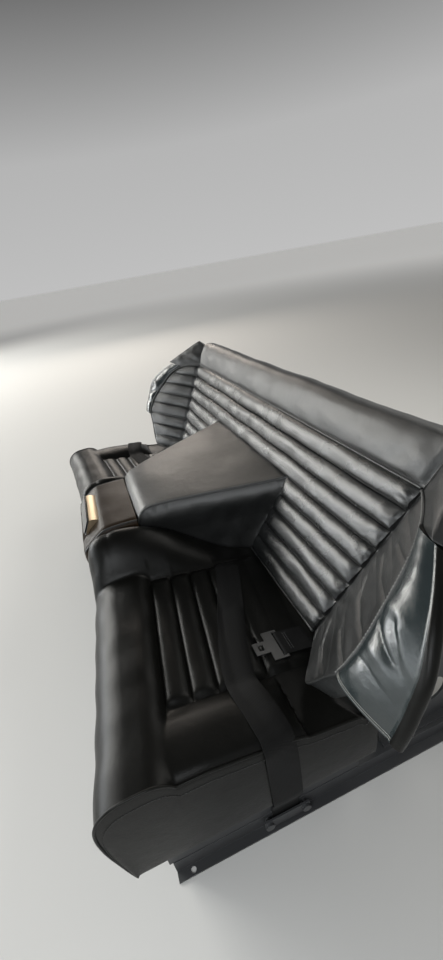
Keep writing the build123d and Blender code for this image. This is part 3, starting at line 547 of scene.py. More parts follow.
def backrest_band():
    """The smooth band over the pleats, pulled in at its ends, with its piping and its stitches."""
    s, n = curve_through(BAND_PROFILE, 70).T[:, :, None]
    reach = pi / 2 * BAND_CROWD
    half = BACK_SEAM + BAND_FLARE * (s - BACK_LENGTH) / (BAND_TOP - BACK_LENGTH)
    x = np.sin(np.linspace(-1, 1, 241) * reach) / sin(reach) * half
    swell = ripple(stacked(x, s * 1.6), 230.0, 11)
    small = ripple(stacked(x, s * 1.2), 60.0, 12)
    lift = 1.1 * swell + 0.35 * small * (1 + 3 * near_end(x, half, 110.0))
    lift = lift - 6.0 * near_end(x, half, 16.0) ** 2
    lift = lift * smooth((s - BAND_SEAM) / 12.0) * smooth((BACK_THICK + n) / 30.0)
    top = smooth((s - 360.0) / 24.0)
    front = lean(x, s + lift * top, n + lift * (1 - 0.5 * top))
    core_s = np.clip(s, BAND_SEAM + 3.0, BAND_TOP - 12.0) - 4.0
    core = lean(x * 0.985, core_s, np.clip(n - 12.0, -BACK_THICK + 1.0, -20.0))
    pad("band_cover", front, core, VINYL, "backrest_band")
    flange_x = np.linspace(-BACK_SEAM + 4, BACK_SEAM - 4, 200)
    piping = lean(flange_x, BAND_SEAM - 0.8, 1.2 + 0.3 * np.sin(flange_x / 31.0))
    cords("band_piping", [piping], 1.7, VINYL)
    thread_x = np.linspace(-BACK_SEAM + 6, BACK_SEAM - 6, 240)
    stitches("band_stitches", [lean(thread_x, BAND_SEAM + 4.6, 5.1)], THREAD)


# Armrest and saddle

ARM_PATH = [               # the top panel's middle line, from the backrest over the nose, as y and z
    (ARM_Y + 2, ARM_Z + 1), (30, ARM_Z - 4.5), (-60, ARM_Z - 11.0), (-140, ARM_Z - 17.5),
    (-186, NOSE_Z - 1.0), (-207, NOSE_Z - 7.5), (-219, NOSE_Z - 19.0), (-225, NOSE_Z - 34.0),
    (NOSE_FRONT, NOSE_Z - 60.0), (NOSE_FRONT, SADDLE_BASE),
]
SADDLE_PATH = [            # from the nose, over the brow and down the front
    (NOSE_FRONT, SADDLE_TOP - 1.5), (-250.0, SADDLE_TOP), (-282.0, SADDLE_TOP), (-300.0, SADDLE_TOP - 2.6),
    (-317.0, SADDLE_TOP - 13.0), (-331.0, SADDLE_TOP - 24.5), (-343.0, SADDLE_TOP - 34.0),
    (-350.0, SADDLE_TOP - 44.0), (-352.0, 64.0), (-352.0, SADDLE_BASE),
]


def armrest():
    """The top panel runs over the nose, and the side panels stand under its edges."""
    path = curve_through(ARM_PATH, 120)
    y, z = path.T[:, :, None]
    q = crowded(121, 1.35)
    half = arm_half(y) - ARM_INSET
    x = q * half
    away = half - np.abs(x)
    crown = 3.0 * (1 - q**2) - ARM_SHOULDER * turned(1.0 - away / 7.0)
    swell = 0.7 * ripple(stacked(x, y, z), 150.0, 21)
    front = lifted(x, path, crown + swell * smooth(away / 30.0))
    core = stacked(x * 0.96, np.clip(y, -212.0, None), np.clip(z - 14.0, SADDLE_BASE, SADDLE_BASE + 60.0))
    pad("armrest_top", front, core, VINYL, "armrest_pad")
    for word, side in SIDES:
        arm_side(f"armrest_side_{word}", front[:, -1], side)
    ny, nz = 0.25 * path_normals(path)[2:96].T
    row = front[2:96, -4] + stacked(0.25, ny, nz)
    # The stitches take the pale thread: a painted glint along the seam
    stitches("armrest_stitches", [row, row * MIRROR], GLINT_THREAD)


def arm_side(name, seam, side):
    """A side panel of the armrest, puffed under its seam and creased towards the backrest."""
    depth = np.concatenate([np.linspace(0, 20, 14), np.linspace(24, 220, 36)])
    x0, y0, z0 = seam.T[:, :, None]
    d = np.minimum(depth, z0 - ARM_BASE)
    z = z0 - d
    puff = 13.0 * (1.0 - (1.0 - np.clip(d / 30.0, 0.0, 1.0)) ** 2.2)
    puff = puff * (1 - 0.75 * smooth((d - 30.0) / 50.0)) * (0.12 + 0.88 * smooth((y0 - NOSE_FRONT) / 40.0))
    folds = 1.4 * ripple(stacked(y0, z) * (1.0, 0.6), 46.0, 31) * smooth((d - 8.0) / 30.0)
    gather = 0.5 * ripple(stacked(y0, z * 0.3), 17.0, 33) * smooth(d / 5.0) * (1 - smooth((d - 8.0) / 24.0))
    front = stacked(x0 - 1.0 + puff + folds + gather, np.minimum(y0, z * tan(RECLINE) - 3.0), z)
    pad(name, front, front * (0.9, 1, 1) - (2.0, 0, 0), VINYL, None, side)


def saddle():
    """The saddle's cover: flat on top, then a brow that falls to the front round the ashtray's hood."""
    path = curve_through(SADDLE_PATH, 90)
    y, z = path.T[:, :, None]
    q = crowded(131, 1.4)
    x = q * SADDLE_HALF
    fall = 13.0 * turned(1.0 - (SADDLE_HALF - np.abs(x)) / 15.0)
    front = lifted(x, path, 1.0 * (1 - q**2) + 0.6 * ripple(stacked(x, y, z), 90.0, 41) - fall)
    front[..., 2] = np.maximum(front[..., 2], SADDLE_BASE)
    core = stacked(x, np.clip(y, -330.0, NOSE_FRONT - 1.0), SADDLE_BASE)
    seat_ashtray(pad("saddle_cover", front, core, SADDLE_VINYL, "saddle_pad"))
    inset = 3.4
    edge = stacked(SADDLE_HALF - inset, path[:66, 0], path[:66, 1] - inset)
    cords("saddle_piping", [edge, edge * MIRROR], 1.8, VINYL)


def seat_ashtray(cover):
    """Cuts the ashtray's place out of the saddle's cover, with room for its swing."""
    ahead, above = -360.0, 140.0                       # outside the cover
    well = 70.5                                        # floor of the cut
    pin_low, pin_high = 88.2, 101.0                    # of the slots that the pivots' heads go in
    rear = HINGE_Y + 1.5
    radius = HOOD_RADIUS + 0.5
    arc = [(HINGE_Y + radius * cos(a), HINGE_Z + radius * sin(a)) for a in np.linspace(pi / 2, -0.17, 15)]
    drum = arc + [(rear, pin_low), (rear, well), (ahead, well), (ahead, above), (HINGE_Y, above)]
    scoop = [(-332.0, well), (ahead, well), (ahead, above), (-332.0, above)]
    heads = [(-314.5, pin_low), (ahead, pin_low), (ahead, pin_high), (-314.5, pin_high)]
    for outline, half in ((drum, 62.6), (scoop, 70.5), (heads, 66.0)):
        cut_out(cover, outline, half)


def cut_out(cover, outline, half):
    """Cuts a side-view outline, extruded to both sides, out of a piece."""
    n = len(outline)
    points = [(side * half, y, z) for side in (1, -1) for y, z in outline]
    faces = [tuple(range(n)), tuple(range(2 * n - 1, n - 1, -1))]
    faces += [(i, i + n, (i + 1) % n + n, (i + 1) % n) for i in range(n)]
    mesh = bpy.data.meshes.new("cutter")
    mesh.from_pydata(place(points).tolist(), [], faces)
    build = bmesh.new()
    build.from_mesh(mesh)
    bmesh.ops.recalc_face_normals(build, faces=build.faces)
    build.to_mesh(mesh)
    build.free()
    cutter = bpy.data.objects.new("cutter", mesh)
    bpy.context.scene.collection.objects.link(cutter)
    cut = cover.modifiers.new("cut", "BOOLEAN")
    cut.operation = "DIFFERENCE"
    cut.object = cutter
    cut.solver = "EXACT"
    bpy.context.view_layer.objects.active = cover
    bpy.ops.object.modifier_apply(modifier=cut.name)
    bpy.data.objects.remove(cutter)
    bpy.data.meshes.remove(mesh)


# Cushions

INSERT_PITCH = 40.0
INSERT_SLOPE = 0.163
INSERT_HIGH = 29.0         # of the pleated insert at the roll's seam
PLEAT_TURN = 0.113         # the pleats' turn across the cushion, outer end forward
ROLL_ROUND = 36.0          # how long the roll takes to turn down to that seam
BOLSTER_CREST = [
    (-360.0, 60.0), (-342.0, 88.0), (-327.0, 103.0), (-308.0, 114.0), (-284.0, 123.0), (-253.0, 120.5),
    (-223.0, 111.5), (-183.0, 92.0), (-142.0, 65.0), (-100.0, 38.0), (-56.0, 14.0), (-20.0, 2.0),
    (14.0, -4.0),
]
BOLSTER_ACROSS = [
    (110.0, 0.80), (117.0, 0.88), (124.0, 0.965), (137.0, 1.0), (152.0, 0.945), (169.0, 0.80),
    (184.0, 0.61), (198.0, 0.36), (207.0, 0.16), (214.0, 0.0), (226.0, -0.4),
]
BORDER_CREST = [
    (-400.0, 40.0), (-366.0, 42.0), (-328.0, 47.0), (-230.0, 42.0), (-150.0, 32.0), (-125.0, 24.0),
    (-103.0, 8.0), (-88.0, -14.0), (14.0, -30.0),
]
BORDER_ACROSS = [
    (484.0, -0.5), (496.0, 0.0), (508.0, 0.42), (522.0, 0.74), (540.0, 0.94), (558.0, 1.0), (576.0, 0.93),
    (590.0, 0.74), (596.0, 0.5), (600.0, 0.2),
]
CUSHION_SEAMS = [
    [(196.0, -232.0), (210.0, -170.0), (213.0, -100.0), (213.0, -20.0)],
    [(494.0, -262.0), (496.0, -180.0), (496.0, -100.0), (496.0, -20.0)],
]
CUSHION_ROWS = 142         # of the top's grid
REAR_ROWS = 20             # of those, behind the last whole pleat
PLEAT_ROWS = 16            # and to each pleat
ROLL_SHARES = np.linspace(0, 1, 60)[1:, None]          # the rows from the top down the front to the pan
ROLL_TURN = 0.6            # of them, round the roll; the rest drop
UNDER_HEM = [              # the wing's lower edge, across and up its face, as a cushion meets it
    (-10.0, 0.0), (98.0, 0.0), (112.0, 4.0), (125.0, 22.0), (138.0, 46.0), (150.0, 72.0), (164.0, 96.0),
]


def cushion_front(x):
    """The front of the roll at a place across the car."""
    return CUSHION_FRONT + (590.0 - x) * TOE


def insert_edge(x):
    """The seam between the roll and the pleats."""
    return -231.0 - PLEAT_TURN * (x - 159.0)


def along(table, at):
    """A smooth value from a table of given ones."""
    fine = curve_through(table, 12 * len(table))
    return np.interp(at, fine[:, 0], fine[:, 1])


def cushion_height(x, y):
    """Height of a cushion's top, with its roll, bolster, border and pleated insert."""
    behind = y - insert_edge(x)
    plane = INSERT_HIGH - behind * INSERT_SLOPE
    end = smooth((x - 206.0) / 22.0) * smooth((502.0 - x) / 20.0)
    insert = plane + np.where(behind > 0, 8.5 * pleat_puff(behind / INSERT_PITCH) * end, 0.0)
    f = y - cushion_front(x)
    past = f - (insert_edge(x) - cushion_front(x))
    roll = ROLL_TOP - 0.0012 * (f - 70.0) ** 2 - 24.0 * turned((past + ROLL_ROUND) / ROLL_ROUND)
    roll = roll - 60.0 * smooth(past / 12.0)
    base = np.minimum(plane, 22.0)
    bolster = base + (along(BOLSTER_CREST, y) - base) * along(BOLSTER_ACROSS, x)
    border = base + (along(BORDER_CREST, y) - base) * along(BORDER_ACROSS, x)
    forms = np.stack(np.broadcast_arrays(insert, roll, bolster, border))
    blend = 3.0
    high = forms.max(0)
    height = high + blend * np.log(np.exp((forms - high) / blend).sum(0)) - 1.2
    for line in CUSHION_SEAMS:
        height = height + fold(stacked(x, y), line, 3.2, -2.4, 1.3)
    return height


def under_wing(x, y):
    """The highest that a cushion may stand under and behind the wing."""
    origin, across, up, inward = WING
    hem_u, hem_v = zip(*UNDER_HEM)
    v = np.zeros(np.broadcast(x, y).shape)
    to_face = np.linalg.inv(np.array([[across[0], inward[0]], [across[1], inward[1]]]))
    for _ in range(4):
        px, py = x - origin[0] - v * up[0], y - origin[1] - v * up[1]
        u, w = to_face @ np.stack([px.ravel(), py.ravel()])
        u, w = u.reshape(v.shape), w.reshape(v.shape)
        v = np.interp(u, hem_u, hem_v) - 5.0
    z = origin[2] + u * across[2] + v * up[2] + w * inward[2]
    beyond = np.max(np.stack([w - 9.0, -95.0 - w, -8.0 - u, u - 168.0, 0.0 * w]), 0)
    return z + 2.0 * beyond                            # it may rise again beyond the wing's faces and edges


def rows_between(start, stop, count, last=False):
    """Evenly spaced rows from one line across the cushion to another."""
    return start + (stop - start) * np.linspace(0, 1, count, endpoint=last)[:, None]


def cushion_top(xs, side):
    """A cushion's top: a height over the plan, in rows along the pleats, kept clear of what is round it."""
    seam = insert_edge(xs)
    pleats = int((CUSHION_REAR - seam).min() / INSERT_PITCH)
    deep = seam + pleats * INSERT_PITCH
    front_rows = CUSHION_ROWS - REAR_ROWS - PLEAT_ROWS * pleats
    y = np.concatenate([
        rows_between(CUSHION_REAR, deep, REAR_ROWS), rows_between(deep, seam, PLEAT_ROWS * pleats),
        rows_between(seam, cushion_front(xs) + ROLL, front_rows, True)])
    x = np.maximum(xs, arm_half(y) + 3.0 + (xs - CUSHION_IN) * 0.04)
    z = cushion_height(x, y) + 0.6 * ripple(stacked(xs, y), 90.0, 51 + side)
    under_back = (y - 3.0) / -tan(RECLINE) + 400.0 * (y < 0)
    return stacked(x, y, np.minimum(np.minimum(z, under_wing(x, y)), under_back))


def cushion_roll(crest, xs, side):
    """The rows round a cushion's front, from the top's first row down to the pan."""
    turn = np.clip(ROLL_SHARES / ROLL_TURN, 0, 1) * pi / 2
    drop = np.clip((ROLL_SHARES - ROLL_TURN) / (1.0 - ROLL_TURN), 0, 1)
    full = 2.0 + 1.1 * smooth((176.0 - xs) / 50.0) + 0.4 * smooth((xs - 500.0) / 60.0)
    y = crest[:, 1] - ROLL * np.sin(turn) ** (2.0 / full) + 20.0 * drop**1.4
    z = ROLL_CENTRE + (crest[:, 2] - ROLL_CENTRE) * np.cos(turn) ** (2.0 / full)
    z = z + (CUSHION_BASE - ROLL_CENTRE) * drop
    bag = 0.7 * ripple(stacked(crest[:, 0], z), 80.0, 53 + side)
    return stacked(crest[:, 0], y + bag * np.sin(turn), z)


def cushion(word, side):
    """One bucket cushion: its top, its front and its two flanks over a flat base."""
    xs = np.concatenate([
        np.linspace(CUSHION_IN, 146, 16), np.linspace(149, 496, 104), np.linspace(499, CUSHION_OUT, 32)])
    top = cushion_top(xs, side)
    front = np.concatenate([top, cushion_roll(top[-1], xs, side)])
    back = front.copy()
    back[..., 2] = CUSHION_BASE
    back[CUSHION_ROWS:, :, 1] = cushion_front(xs) + 21.0 + (ROLL - 21.0) * (1 - ROLL_SHARES)
    flanks = []
    for edge, out in ((0, 0.0), (-1, CUSHION_BELLY)):
        share = np.linspace(0, 0.97, 16)[None, 1:, None]
        face, rear = front[:, edge][:, None], back[:, edge][:, None]
        flank = face + (rear - face) * share
        flank[..., 0] += (out * np.sin(pi * share) ** 0.7)[..., 0]
        flanks.append(flank)
    edge_row = front[:, -1] + (0.4, 0.0, 0.0)
    hem_row = flanks[1][:, 1] + (0.3, 0.0, 0.0)
    front = np.concatenate([flanks[0][:, ::-1], front, flanks[1]], 1)
    base = np.empty_like(front)
    base[..., 0] = [np.linspace(row[0, 0], row[-1, 0], front.shape[1]) for row in back]
    base[..., 1] = [np.interp(columns, row[:, 0], row[:, 1]) for columns, row in zip(base[..., 0], back)]
    base[..., 2] = CUSHION_BASE
    # The cover and its piping take the darker vinyl: painted shade
    pad(f"cushion_cover_{word}", front, base, SHADED_VINYL, f"cushion_{word}", side)
    cords(f"cushion_piping_{word}", [edge_row], 2.0, SHADED_VINYL, side)
    stitches(f"cushion_stitches_{word}", [hem_row], THREAD, side)


# Wings


def wing_frame():
    """Origin, outward, up and inward directions of the left wing's face."""
    up = unit(np.array([BACK_SEAM - BACK_LOW, BACK_LENGTH * LEAN_S, BACK_LENGTH * LEAN_C]))
    inward = unit(np.cross((cos(WING_FORWARD), -sin(WING_FORWARD), 0.03), up))
    return np.array([BACK_LOW + 0.5, 0.0, 0.0]), np.cross(up, inward), up, inward


WING = wing_frame()


def wing_point(u, v, w):
    """A point of the left wing from its place across, up and off the face."""
    u, v, w = np.broadcast_arrays(u, v, w)
    origin, across, up, inward = WING
    return origin + u[..., None] * across + v[..., None] * up + w[..., None] * inward


WING_SEAM = [
    (0.0, 307.5), (36.0, 304.0), (74.0, 294.0), (108.0, 273.0), (131.0, 243.0), (150.0, 207.0),
    (168.0, 168.0), (173.0, 130.0), (171.0, 108.0),
]
WING_HEM = [
    (171.0, 108.0), (164.0, 96.0), (150.0, 72.0), (138.0, 46.0), (125.0, 22.0), (112.0, 5.0), (98.0, 1.0),
    (60.0, 3.0), (0.0, 4.0),
]
WING_CREASES = [
    [(58, 247), (99, 254), (133, 261)],
    [(39, 169), (71, 151), (114, 151), (166, 161)],
    [(98, 108), (134, 111), (163, 118)],
    [(33, 64), (70, 44), (100, 44), (134, 58)],
    [(9, 25), (37, -5), (65, -8), (115, 7)],
    [(40, 213), (84, 205), (140, 214)],
]
WING_PITCH = PITCH * 1.025


def wing(word, side):
    """The wing's pleated inner face: slack and creased on the left, crisp on the right."""
    piping = curve_through(WING_SEAM, 140)
    hem = curve_through(WING_HEM, 90)
    v = np.linspace(4.5, 306.5, 200)
    edge = sorted((high, across) for across, high in [*piping[2:], *hem[1:58]])
    reach = np.interp(v, *zip(*edge))[:, None]
    v = v[:, None]
    u = np.linspace(0, 1, 96) * reach
    flat = stacked(u, v)
    fade = smooth(u / 16.0) * (0.35 + 0.65 * smooth((reach - u) / 70.0)) * smooth((reach - u) / 10.0)
    bulge = 1.7 if side > 0 else 7.0
    wrinkle = 0.5 * ripple(flat * (0.5, 1.6), 60.0, 61 + side)
    w = bulge * pleat_puff(v / WING_PITCH) * fade - 1.0 + wrinkle * smooth(u / 40.0)
    if side > 0:
        hold = smooth(u / 14.0) * smooth((reach - u) / 9.0)
        w = w + 1.3 * ripple(flat * (0.45, 1.0), 120.0, 65) * hold
        for line in WING_CREASES:
            w = w + (fold(flat, line, 3.0, -2.0, 1.1) + fold(flat + (0.0, 7.0), line, 7.0, 0.9)) * hold
    face, back = wing_point(u, v, w), wing_point(u, v, -WING_THICK)
    pad(f"wing_cover_{word}", face, back, VINYL, f"wing_pad_{word}", side)
    runs = [wing_point(*piping.T, 0.6), wing_point(*hem.T, -2.0)]
    cords(f"wing_piping_{word}", runs, 2.2, VINYL, side)
    cords(f"wing_seam_{word}", [wing_point(0.5, np.linspace(5, 305, 60), -2.0)], 1.8, VINYL, side)
    # The stitches take the pale thread: a painted glint along the piping
    stitches(f"wing_stitches_{word}", [wing_point(*piping.T, 3.0)], GLINT_THREAD, side)


BORDER_RIM = [             # across, up and back from the wing's face
    (134.0, 302.0, 6.0), (174.0, 276.0, 15.0), (210.0, 246.0, 24.0), (230.0, 214.0, 35.0),
    (238.0, 172.0, 46.0), (241.0, 147.0, 52.0), (241.0, 125.0, 57.0),
]
BORDER_RIDGES = [          # lines over the border, each with its width and height
    ([(160, 222), (180, 234), (206, 238), (236, 232)], 15.0, 4.4),
    ([(194, 224), (211, 209), (232, 198)], 7.0, 3.2),
    ([(166, 176), (198, 183), (232, 180)], 11.0, 2.8),
    ([(182, 138), (212, 150), (238, 152)], 16.0, 1.8),
]
BORDER_CREASES = [
    ([(164, 204), (184, 200), (206, 194)], 3.6, -3.4),
    ([(184, 224), (199, 214), (214, 196)], 5.0, -2.2),
    ([(206, 240), (223, 225), (239, 212)], 4.5, -1.6),
    ([(176, 158), (198, 165), (224, 164)], 4.0, -1.3),
]
BORDER_ROWS = 130
BORDER_COLUMNS = 64
FACE_SHARE = 0.72          # of the border's columns, over its face
TURN_SHARE = 0.20          # and round its rim
RIM_RADIUS = 9.0


def wing_border(word, side):
    """The smooth outer panel of the wing, stretched and creased, that rolls round its rim."""
    seam = curve_through(WING_SEAM[2:], BORDER_ROWS)
    rim = curve_through(BORDER_RIM, BORDER_ROWS)
    length = np.linalg.norm(rim[:, :2] - seam, axis=1)[:, None]
    step = (rim[:, :2] - seam) / length
    start, deep = seam[:, None], rim[:, 2:]
    t = np.linspace(0, 1, BORDER_COLUMNS)
    face = np.clip(t / FACE_SHARE, 0, 1)
    turn = np.clip((t - FACE_SHARE) / TURN_SHARE, 0, 1) * pi
    rear_share = 1.0 - FACE_SHARE - TURN_SHARE
    rear = np.clip((t - 1.0 + rear_share) / rear_share, 0, 1)
    long = length - RIM_RADIUS
    out = long * face + RIM_RADIUS * np.sin(turn) - (long - length / 2) * rear
    foot = np.maximum(WING_THICK, deep + 26.0)
    rise = -deep * face**1.5 + 9.0 * np.sin(pi * face) ** 0.9 * (turn == 0)
    rise = rise - RIM_RADIUS * (1 - np.cos(turn)) - (foot - deep - 2 * RIM_RADIUS) * rear
    flat = start + step[:, None] * out[..., None]
    loose = np.sin(pi * np.clip(face, 0.02, 0.98)) ** 0.7 * (turn < 1.6)
    rows = np.linspace(0, 1, BORDER_ROWS)[:, None]
    loose = loose * smooth(rows * 9.0) * smooth((1 - rows) * 14.0)
    shift = (0.0, 0.0 if side > 0 else 9.0)
    for line, width, height in BORDER_RIDGES + BORDER_CREASES:
        rise = rise + fold(flat + shift, line, width, height, 1.5) * loose
    rise = rise + 0.5 * ripple(flat, 30.0, 71 + side) * loose
    front = wing_point(*np.moveaxis(flat, -1, 0), rise)
    behind = start + step[:, None] * (length / 2 * t)[..., None]
    back = wing_point(*np.moveaxis(behind, -1, 0), -WING_THICK - (foot - WING_THICK) * t)
    # Two thin cords in the pale thread along the hem: painted highlight lines
    hems = [front[at, 2:48] + 0.6 * WING[3] for at in (-4, -7)]
    cords(f"border_hem_{word}", hems, 0.45, GLINT_THREAD, side)
    piece = pad(f"border_cover_{word}", front, back, VINYL_GLOSS, f"wing_border_{word}", side)
    shade_behind_rim(piece)


def shade_behind_rim(piece):
    """Gives the border the darker, less glossy vinyl behind its rim, and on its back and its edges: painted
    shade that keeps a highlight off the rim.
    """
    piece.data.materials.append(SHADED_VINYL)
    across = BORDER_COLUMNS - 1
    face = (BORDER_ROWS - 1) * across
    painted_shade_faces = [int(i >= face or i % across > 0.74 * across) for i in range(len(piece.data.polygons))]
    piece.data.polygons.foreach_set("material_index", painted_shade_faces)


GUSSET_LOW = [(2.0, 309.5), (37.0, 306.5), (76.0, 296.5), (104.0, 299.0), (131.0, 305.0)]
GUSSET_HIGH = [(4.0, 380.0), (16.0, 387.0), (30.0, 387.0), (84.0, 345.0), (131.0, 306.5)]


def wing_gusset(word, side):
    """The smooth three-cornered panel over the top of the wing."""
    low, high = curve_through(GUSSET_LOW, 60)[:, None], curve_through(GUSSET_HIGH, 60)[:, None]
    t = np.linspace(0, 1, 40)
    p = low + (high - low) * t[:, None]
    belly = 4.0 * np.sin(pi * t) * np.sin(pi * np.linspace(0, 1, 60))[:, None] ** 0.5
    folds = 0.8 * ripple(p * (0.7, 1.3), 40.0, 81 + side) * np.sin(pi * t)
    front = wing_point(p[..., 0], p[..., 1], belly + folds)
    back = wing_point(p[..., 0], p[..., 1], -WING_THICK)
    pad(f"gusset_cover_{word}", front, back, VINYL, f"wing_gusset_{word}", side)


# Straps

STRAP_PATH = [             # over the cushion, seen from above
    (204.0, -67.0), (230.0, -78.0), (300.0, -99.0), (380.0, -125.0), (450.0, -146.0), (505.0, -153.0),
    (560.0, -146.0), (588.0, -141.5),
]
STRAP_FALL = [             # down the flank, as x and the fall below the path's end
    (588.0, 0.0), (596.0, -3.5), (601.5, -12.0), (603.8, -28.0), (604.2, -80.0), (603.2, -142.0),
    (597.0, -163.0), (585.5, -196.0), (582.8, -212.0), (582.6, -232.0),
]
STRAP_HALF = 24.0
STRAP_THICK = 1.3
STRAP_COLUMNS = 15
TAIL_X = 452.0
TAIL_HALF = 23.5
TAIL_PATH = [
    (9.0, -15.0), (-2.0, -11.0), (-9.0, -6.0), (-16.0, -1.0), (-30.0, 2.6), (-48.0, 6.2), (-59.0, 8.8),
    (-65.0, 10.0), (-68.6, 9.0), (-69.6, 6.2), (-69.0, 4.2),
]


def maximum(values, width):
    """The running maximum of a row of values."""
    padded = np.pad(values, width // 2, "edge")
    return np.array([padded[i:i + width].max() for i in range(len(values))])


def web(name, upper, side, stands_for):
    """A woven strap under a grid of points, standing for a node of the imported model."""
    normal = unit(np.cross(np.gradient(upper, axis=0), np.gradient(upper, axis=1)))
    normal *= np.sign(normal[20, 6, 2])                # a place where the strap lies flat
    across = np.linspace(-1, 1, STRAP_COLUMNS)[:, None]
    upper = upper - 0.35 * normal * np.abs(across) ** 6
    lower = upper - STRAP_THICK * normal
    upper, lower = upper * (side, 1, 1), lower * (side, 1, 1)
    piece = mesh_object(name, *slab(upper, lower), WEBBING, slot="webbing")
    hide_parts(stands_for)


def strap(word, side):
    """The lap strap: out of the seam by the bolster, over the pleats and the border, down to its clamp."""
    path = curve_through(STRAP_PATH, 110)
    ahead = unit(np.gradient(path, axis=0))
    aside = np.stack([-ahead[:, 1], ahead[:, 0]], -1)
    across = np.linspace(-1, 1, STRAP_COLUMNS)
    grid = path[:, None, :] + aside[:, None, :] * (STRAP_HALF * across)[:, None]
    high = cushion_height(grid[..., 0], grid[..., 1])
    kernel = np.hanning(11)
    kernel /= kernel.sum()
    rows = [np.pad(maximum(row, 5), 5, "edge") for row in high.T]
    eased = np.stack([np.convolve(row, kernel, "valid") for row in rows], -1)
    crest = eased.max(1, keepdims=True)
    eased = np.maximum(eased, crest - 2.2 - 5.0 * np.abs(across) ** 3)
    tuck = smooth((30.0 - (path[:, 0] - path[0, 0])) / 30.0)[:, None]
    top = np.dstack([grid, eased + 1.9 - 34.0 * tuck**1.6])
    last = top[-1]
    middle = last[STRAP_COLUMNS // 2, 2]
    rows = [top]
    for x, dz in curve_through(STRAP_FALL, 90)[1:]:
        tilt = 1 - smooth(-dz / 60.0)
        row = last.copy()
        row[:, 0] = x + (last[:, 0] - path[-1, 0]) * tilt
        row[:, 2] = middle + dz + (last[:, 2] - middle) * tilt
        rows.append(row[None])
    upper = np.concatenate(rows)
    web(f"strap_web_{word}", upper, side, f"strap_{word}")


def tail(word, side):
    """The short half of the strap, out of the gap under the backrest and round the bar of its tongue."""
    path = curve_through(TAIL_PATH, 80)
    y, z = path.T[:, :, None]
    x = TAIL_X + TAIL_HALF * np.linspace(-1, 1, STRAP_COLUMNS)
    sag = 0.7 * ripple(stacked(x, y), 60.0, 91) * smooth((y + 62.0) / 20.0) * smooth(-y / 10.0)
    upper = stacked(x, y, z + sag)
    web(f"tail_web_{word}", upper, side, f"tail_{word}")
    line = np.linspace(TAIL_X - 19.0, TAIL_X + 19.0, 20)
    rows = [stacked(line, at, np.interp(at, path[::-1, 0], path[::-1, 1]) + 0.5) for at in (-50.0, -54.0)]
    stitches(f"tail_stitches_{word}", rows, THREAD, side)


# The rigid nodes' finishes

FINISHES = {
    "board": BOARD_PAINT, "stay": FRAME_PAINT, "arch": FRAME_PAINT, "pan": FRAME_PAINT, "rail": FRAME_PAINT,
    "clamp": FRAME_PAINT, "hood": CHROME, "bin": STEEL, "face": FACE, "pivot": STEEL,
    "tongue": TONGUE_STEEL,
}


def finish_nodes():
    """Gives every rigid node its finish, by a word of its name."""
    for name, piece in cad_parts.items():
        for word, material in FINISHES.items():
            if word in name.split("_"):
                piece.data.materials.clear()
                piece.data.materials.append(material)


backrest()
backrest_band()
armrest()
saddle()
for word, side in SIDES:
    cushion(word, side)
    wing(word, side)
    wing_border(word, side)
    wing_gusset(word, side)
    strap(word, side)
    tail(word, side)
finish_nodes()


# Floor, light and camera

FAR_GLOW = 0.36            # what the floor beyond the lamps' reach shows over the light that falls on it


def stage():
    """The plain pale floor, as pale far off as it is near by."""
    bpy.ops.mesh.primitive_plane_add(size=240.0, location=(0, 0, 0))
    floor = bpy.context.object
    floor.name = "floor"
    material, tree, shader, where = new_material("floor")
    shader.inputs["Base Color"].default_value = (0.62, 0.615, 0.60, 1.0)
    shader.inputs["Roughness"].default_value = 0.8
    away = node(tree, "ShaderNodeVectorMath", [("Vector", where)], operation="LENGTH").outputs["Value"]
    far = node(tree, "ShaderNodeMapRange", [("Value", away)], interpolation_type="SMOOTHSTEP", From_Min=2.5,
               From_Max=14.0, To_Min=0.0, To_Max=FAR_GLOW).outputs["Result"]
    seen = tree.nodes.new("ShaderNodeLightPath").outputs
    shown = maths(tree, "MAXIMUM", seen["Is Camera Ray"], seen["Is Transmission Ray"])
    shown = maths(tree, "MAXIMUM", shown, seen["Is Glossy Ray"])
    shader.inputs["Emission Color"].default_value = (1.0, 0.992, 0.968, 1.0)
    tree.links.new(maths(tree, "MULTIPLY", far, shown), shader.inputs["Emission Strength"])
    floor.data.materials.append(material)


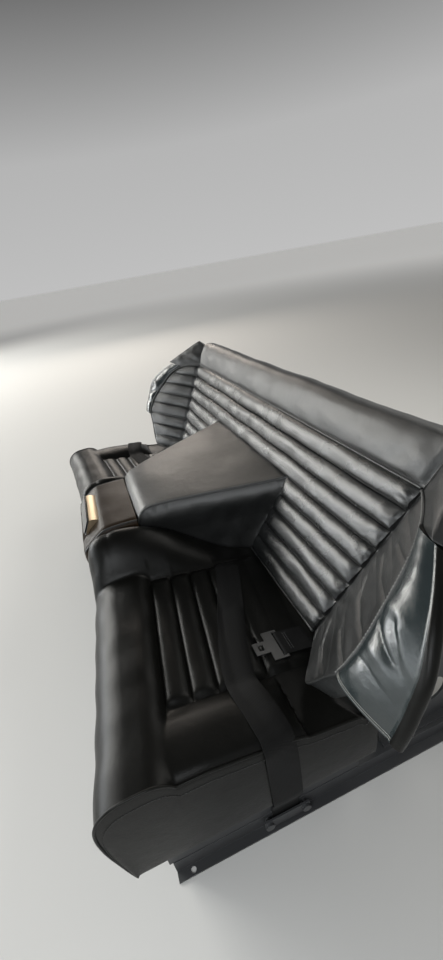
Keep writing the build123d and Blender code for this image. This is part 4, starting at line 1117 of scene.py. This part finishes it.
LAMPS = [                  # name, place, target, size, power and colour
    ("far_door", (-5.29, -4.385, 3.28), (0.3, 0.1, 0.42), (4.3, 3.25), 465.0, (1.0, 0.99, 0.94)),
    ("far_window", (-4.80, 0.42, 2.30), (0.0, 0.0, 0.4), (1.6, 1.2), 42.0, (1.0, 0.90, 0.80)),
    ("front_window", (-3.875, -6.325, 1.48), (0.55, 0.05, 0.4), (4.05, 2.55), 265.0, (0.94, 0.98, 1.0)),
    ("near_door", (0.72, -3.45, 0.72), (0.6, 0.0, 0.4), (1.7, 1.0), 17.0, (0.90, 0.97, 1.0)),
    ("near_window", (1.60, -0.80, 1.30), (0.13, -0.05, 0.36), (1.1, 0.8), 18.0, (0.95, 0.98, 1.0)),
    ("rear_window", (0.0, 1.25, 1.6), (0.0, 0.0, 0.35), (1.6, 0.6), 10.0, (1.0, 0.98, 0.92)),
]


def lights():
    """A room that is pale round the horizon and dimmer overhead, with soft lamps for its windows."""
    world = bpy.data.worlds.new("studio")
    bpy.context.scene.world = world
    world.use_nodes = True
    tree = world.node_tree
    direction = tree.nodes.new("ShaderNodeTexCoord").outputs["Generated"]
    height = node(tree, "ShaderNodeSeparateXYZ", [("Vector", direction)])
    shade = ramp(tree, height.outputs["Z"], [(0.0, 0.52), (0.20, 0.46), (0.42, 0.12), (1.0, 0.07)])
    tree.links.new(shade, tree.nodes["Background"].inputs["Color"])
    tree.nodes["Background"].inputs["Strength"].default_value = 1.0
    for name, spot, target, size, power, color in LAMPS:
        data = bpy.data.lights.new(name, "AREA")
        data.shape = "RECTANGLE"
        data.size, data.size_y = size
        data.energy = power
        data.color = color
        lamp = bpy.data.objects.new(name, data)
        lamp.location = spot
        lamp.rotation_euler = (Vector(target) - Vector(spot)).to_track_quat("-Z", "Y").to_euler()
        bpy.context.scene.collection.objects.link(lamp)


def camera():
    """The photograph's view: a wide phone lens beside the near front of the seat, over it."""
    data = bpy.data.cameras.new("camera")
    data.sensor_fit = "VERTICAL"
    data.sensor_height = 36.0
    data.lens = 15.375
    data.clip_start = 0.01
    eye = bpy.data.objects.new("camera", data)
    eye.location = (0.8913, -0.1842, 0.7949)
    eye.rotation_euler = [radians(a) for a in (61.571, 8.894, 70.091)]
    bpy.context.scene.collection.objects.link(eye)
    bpy.context.scene.camera = eye


stage()
lights()
camera()
bpy.context.scene.view_settings.view_transform = "Standard"
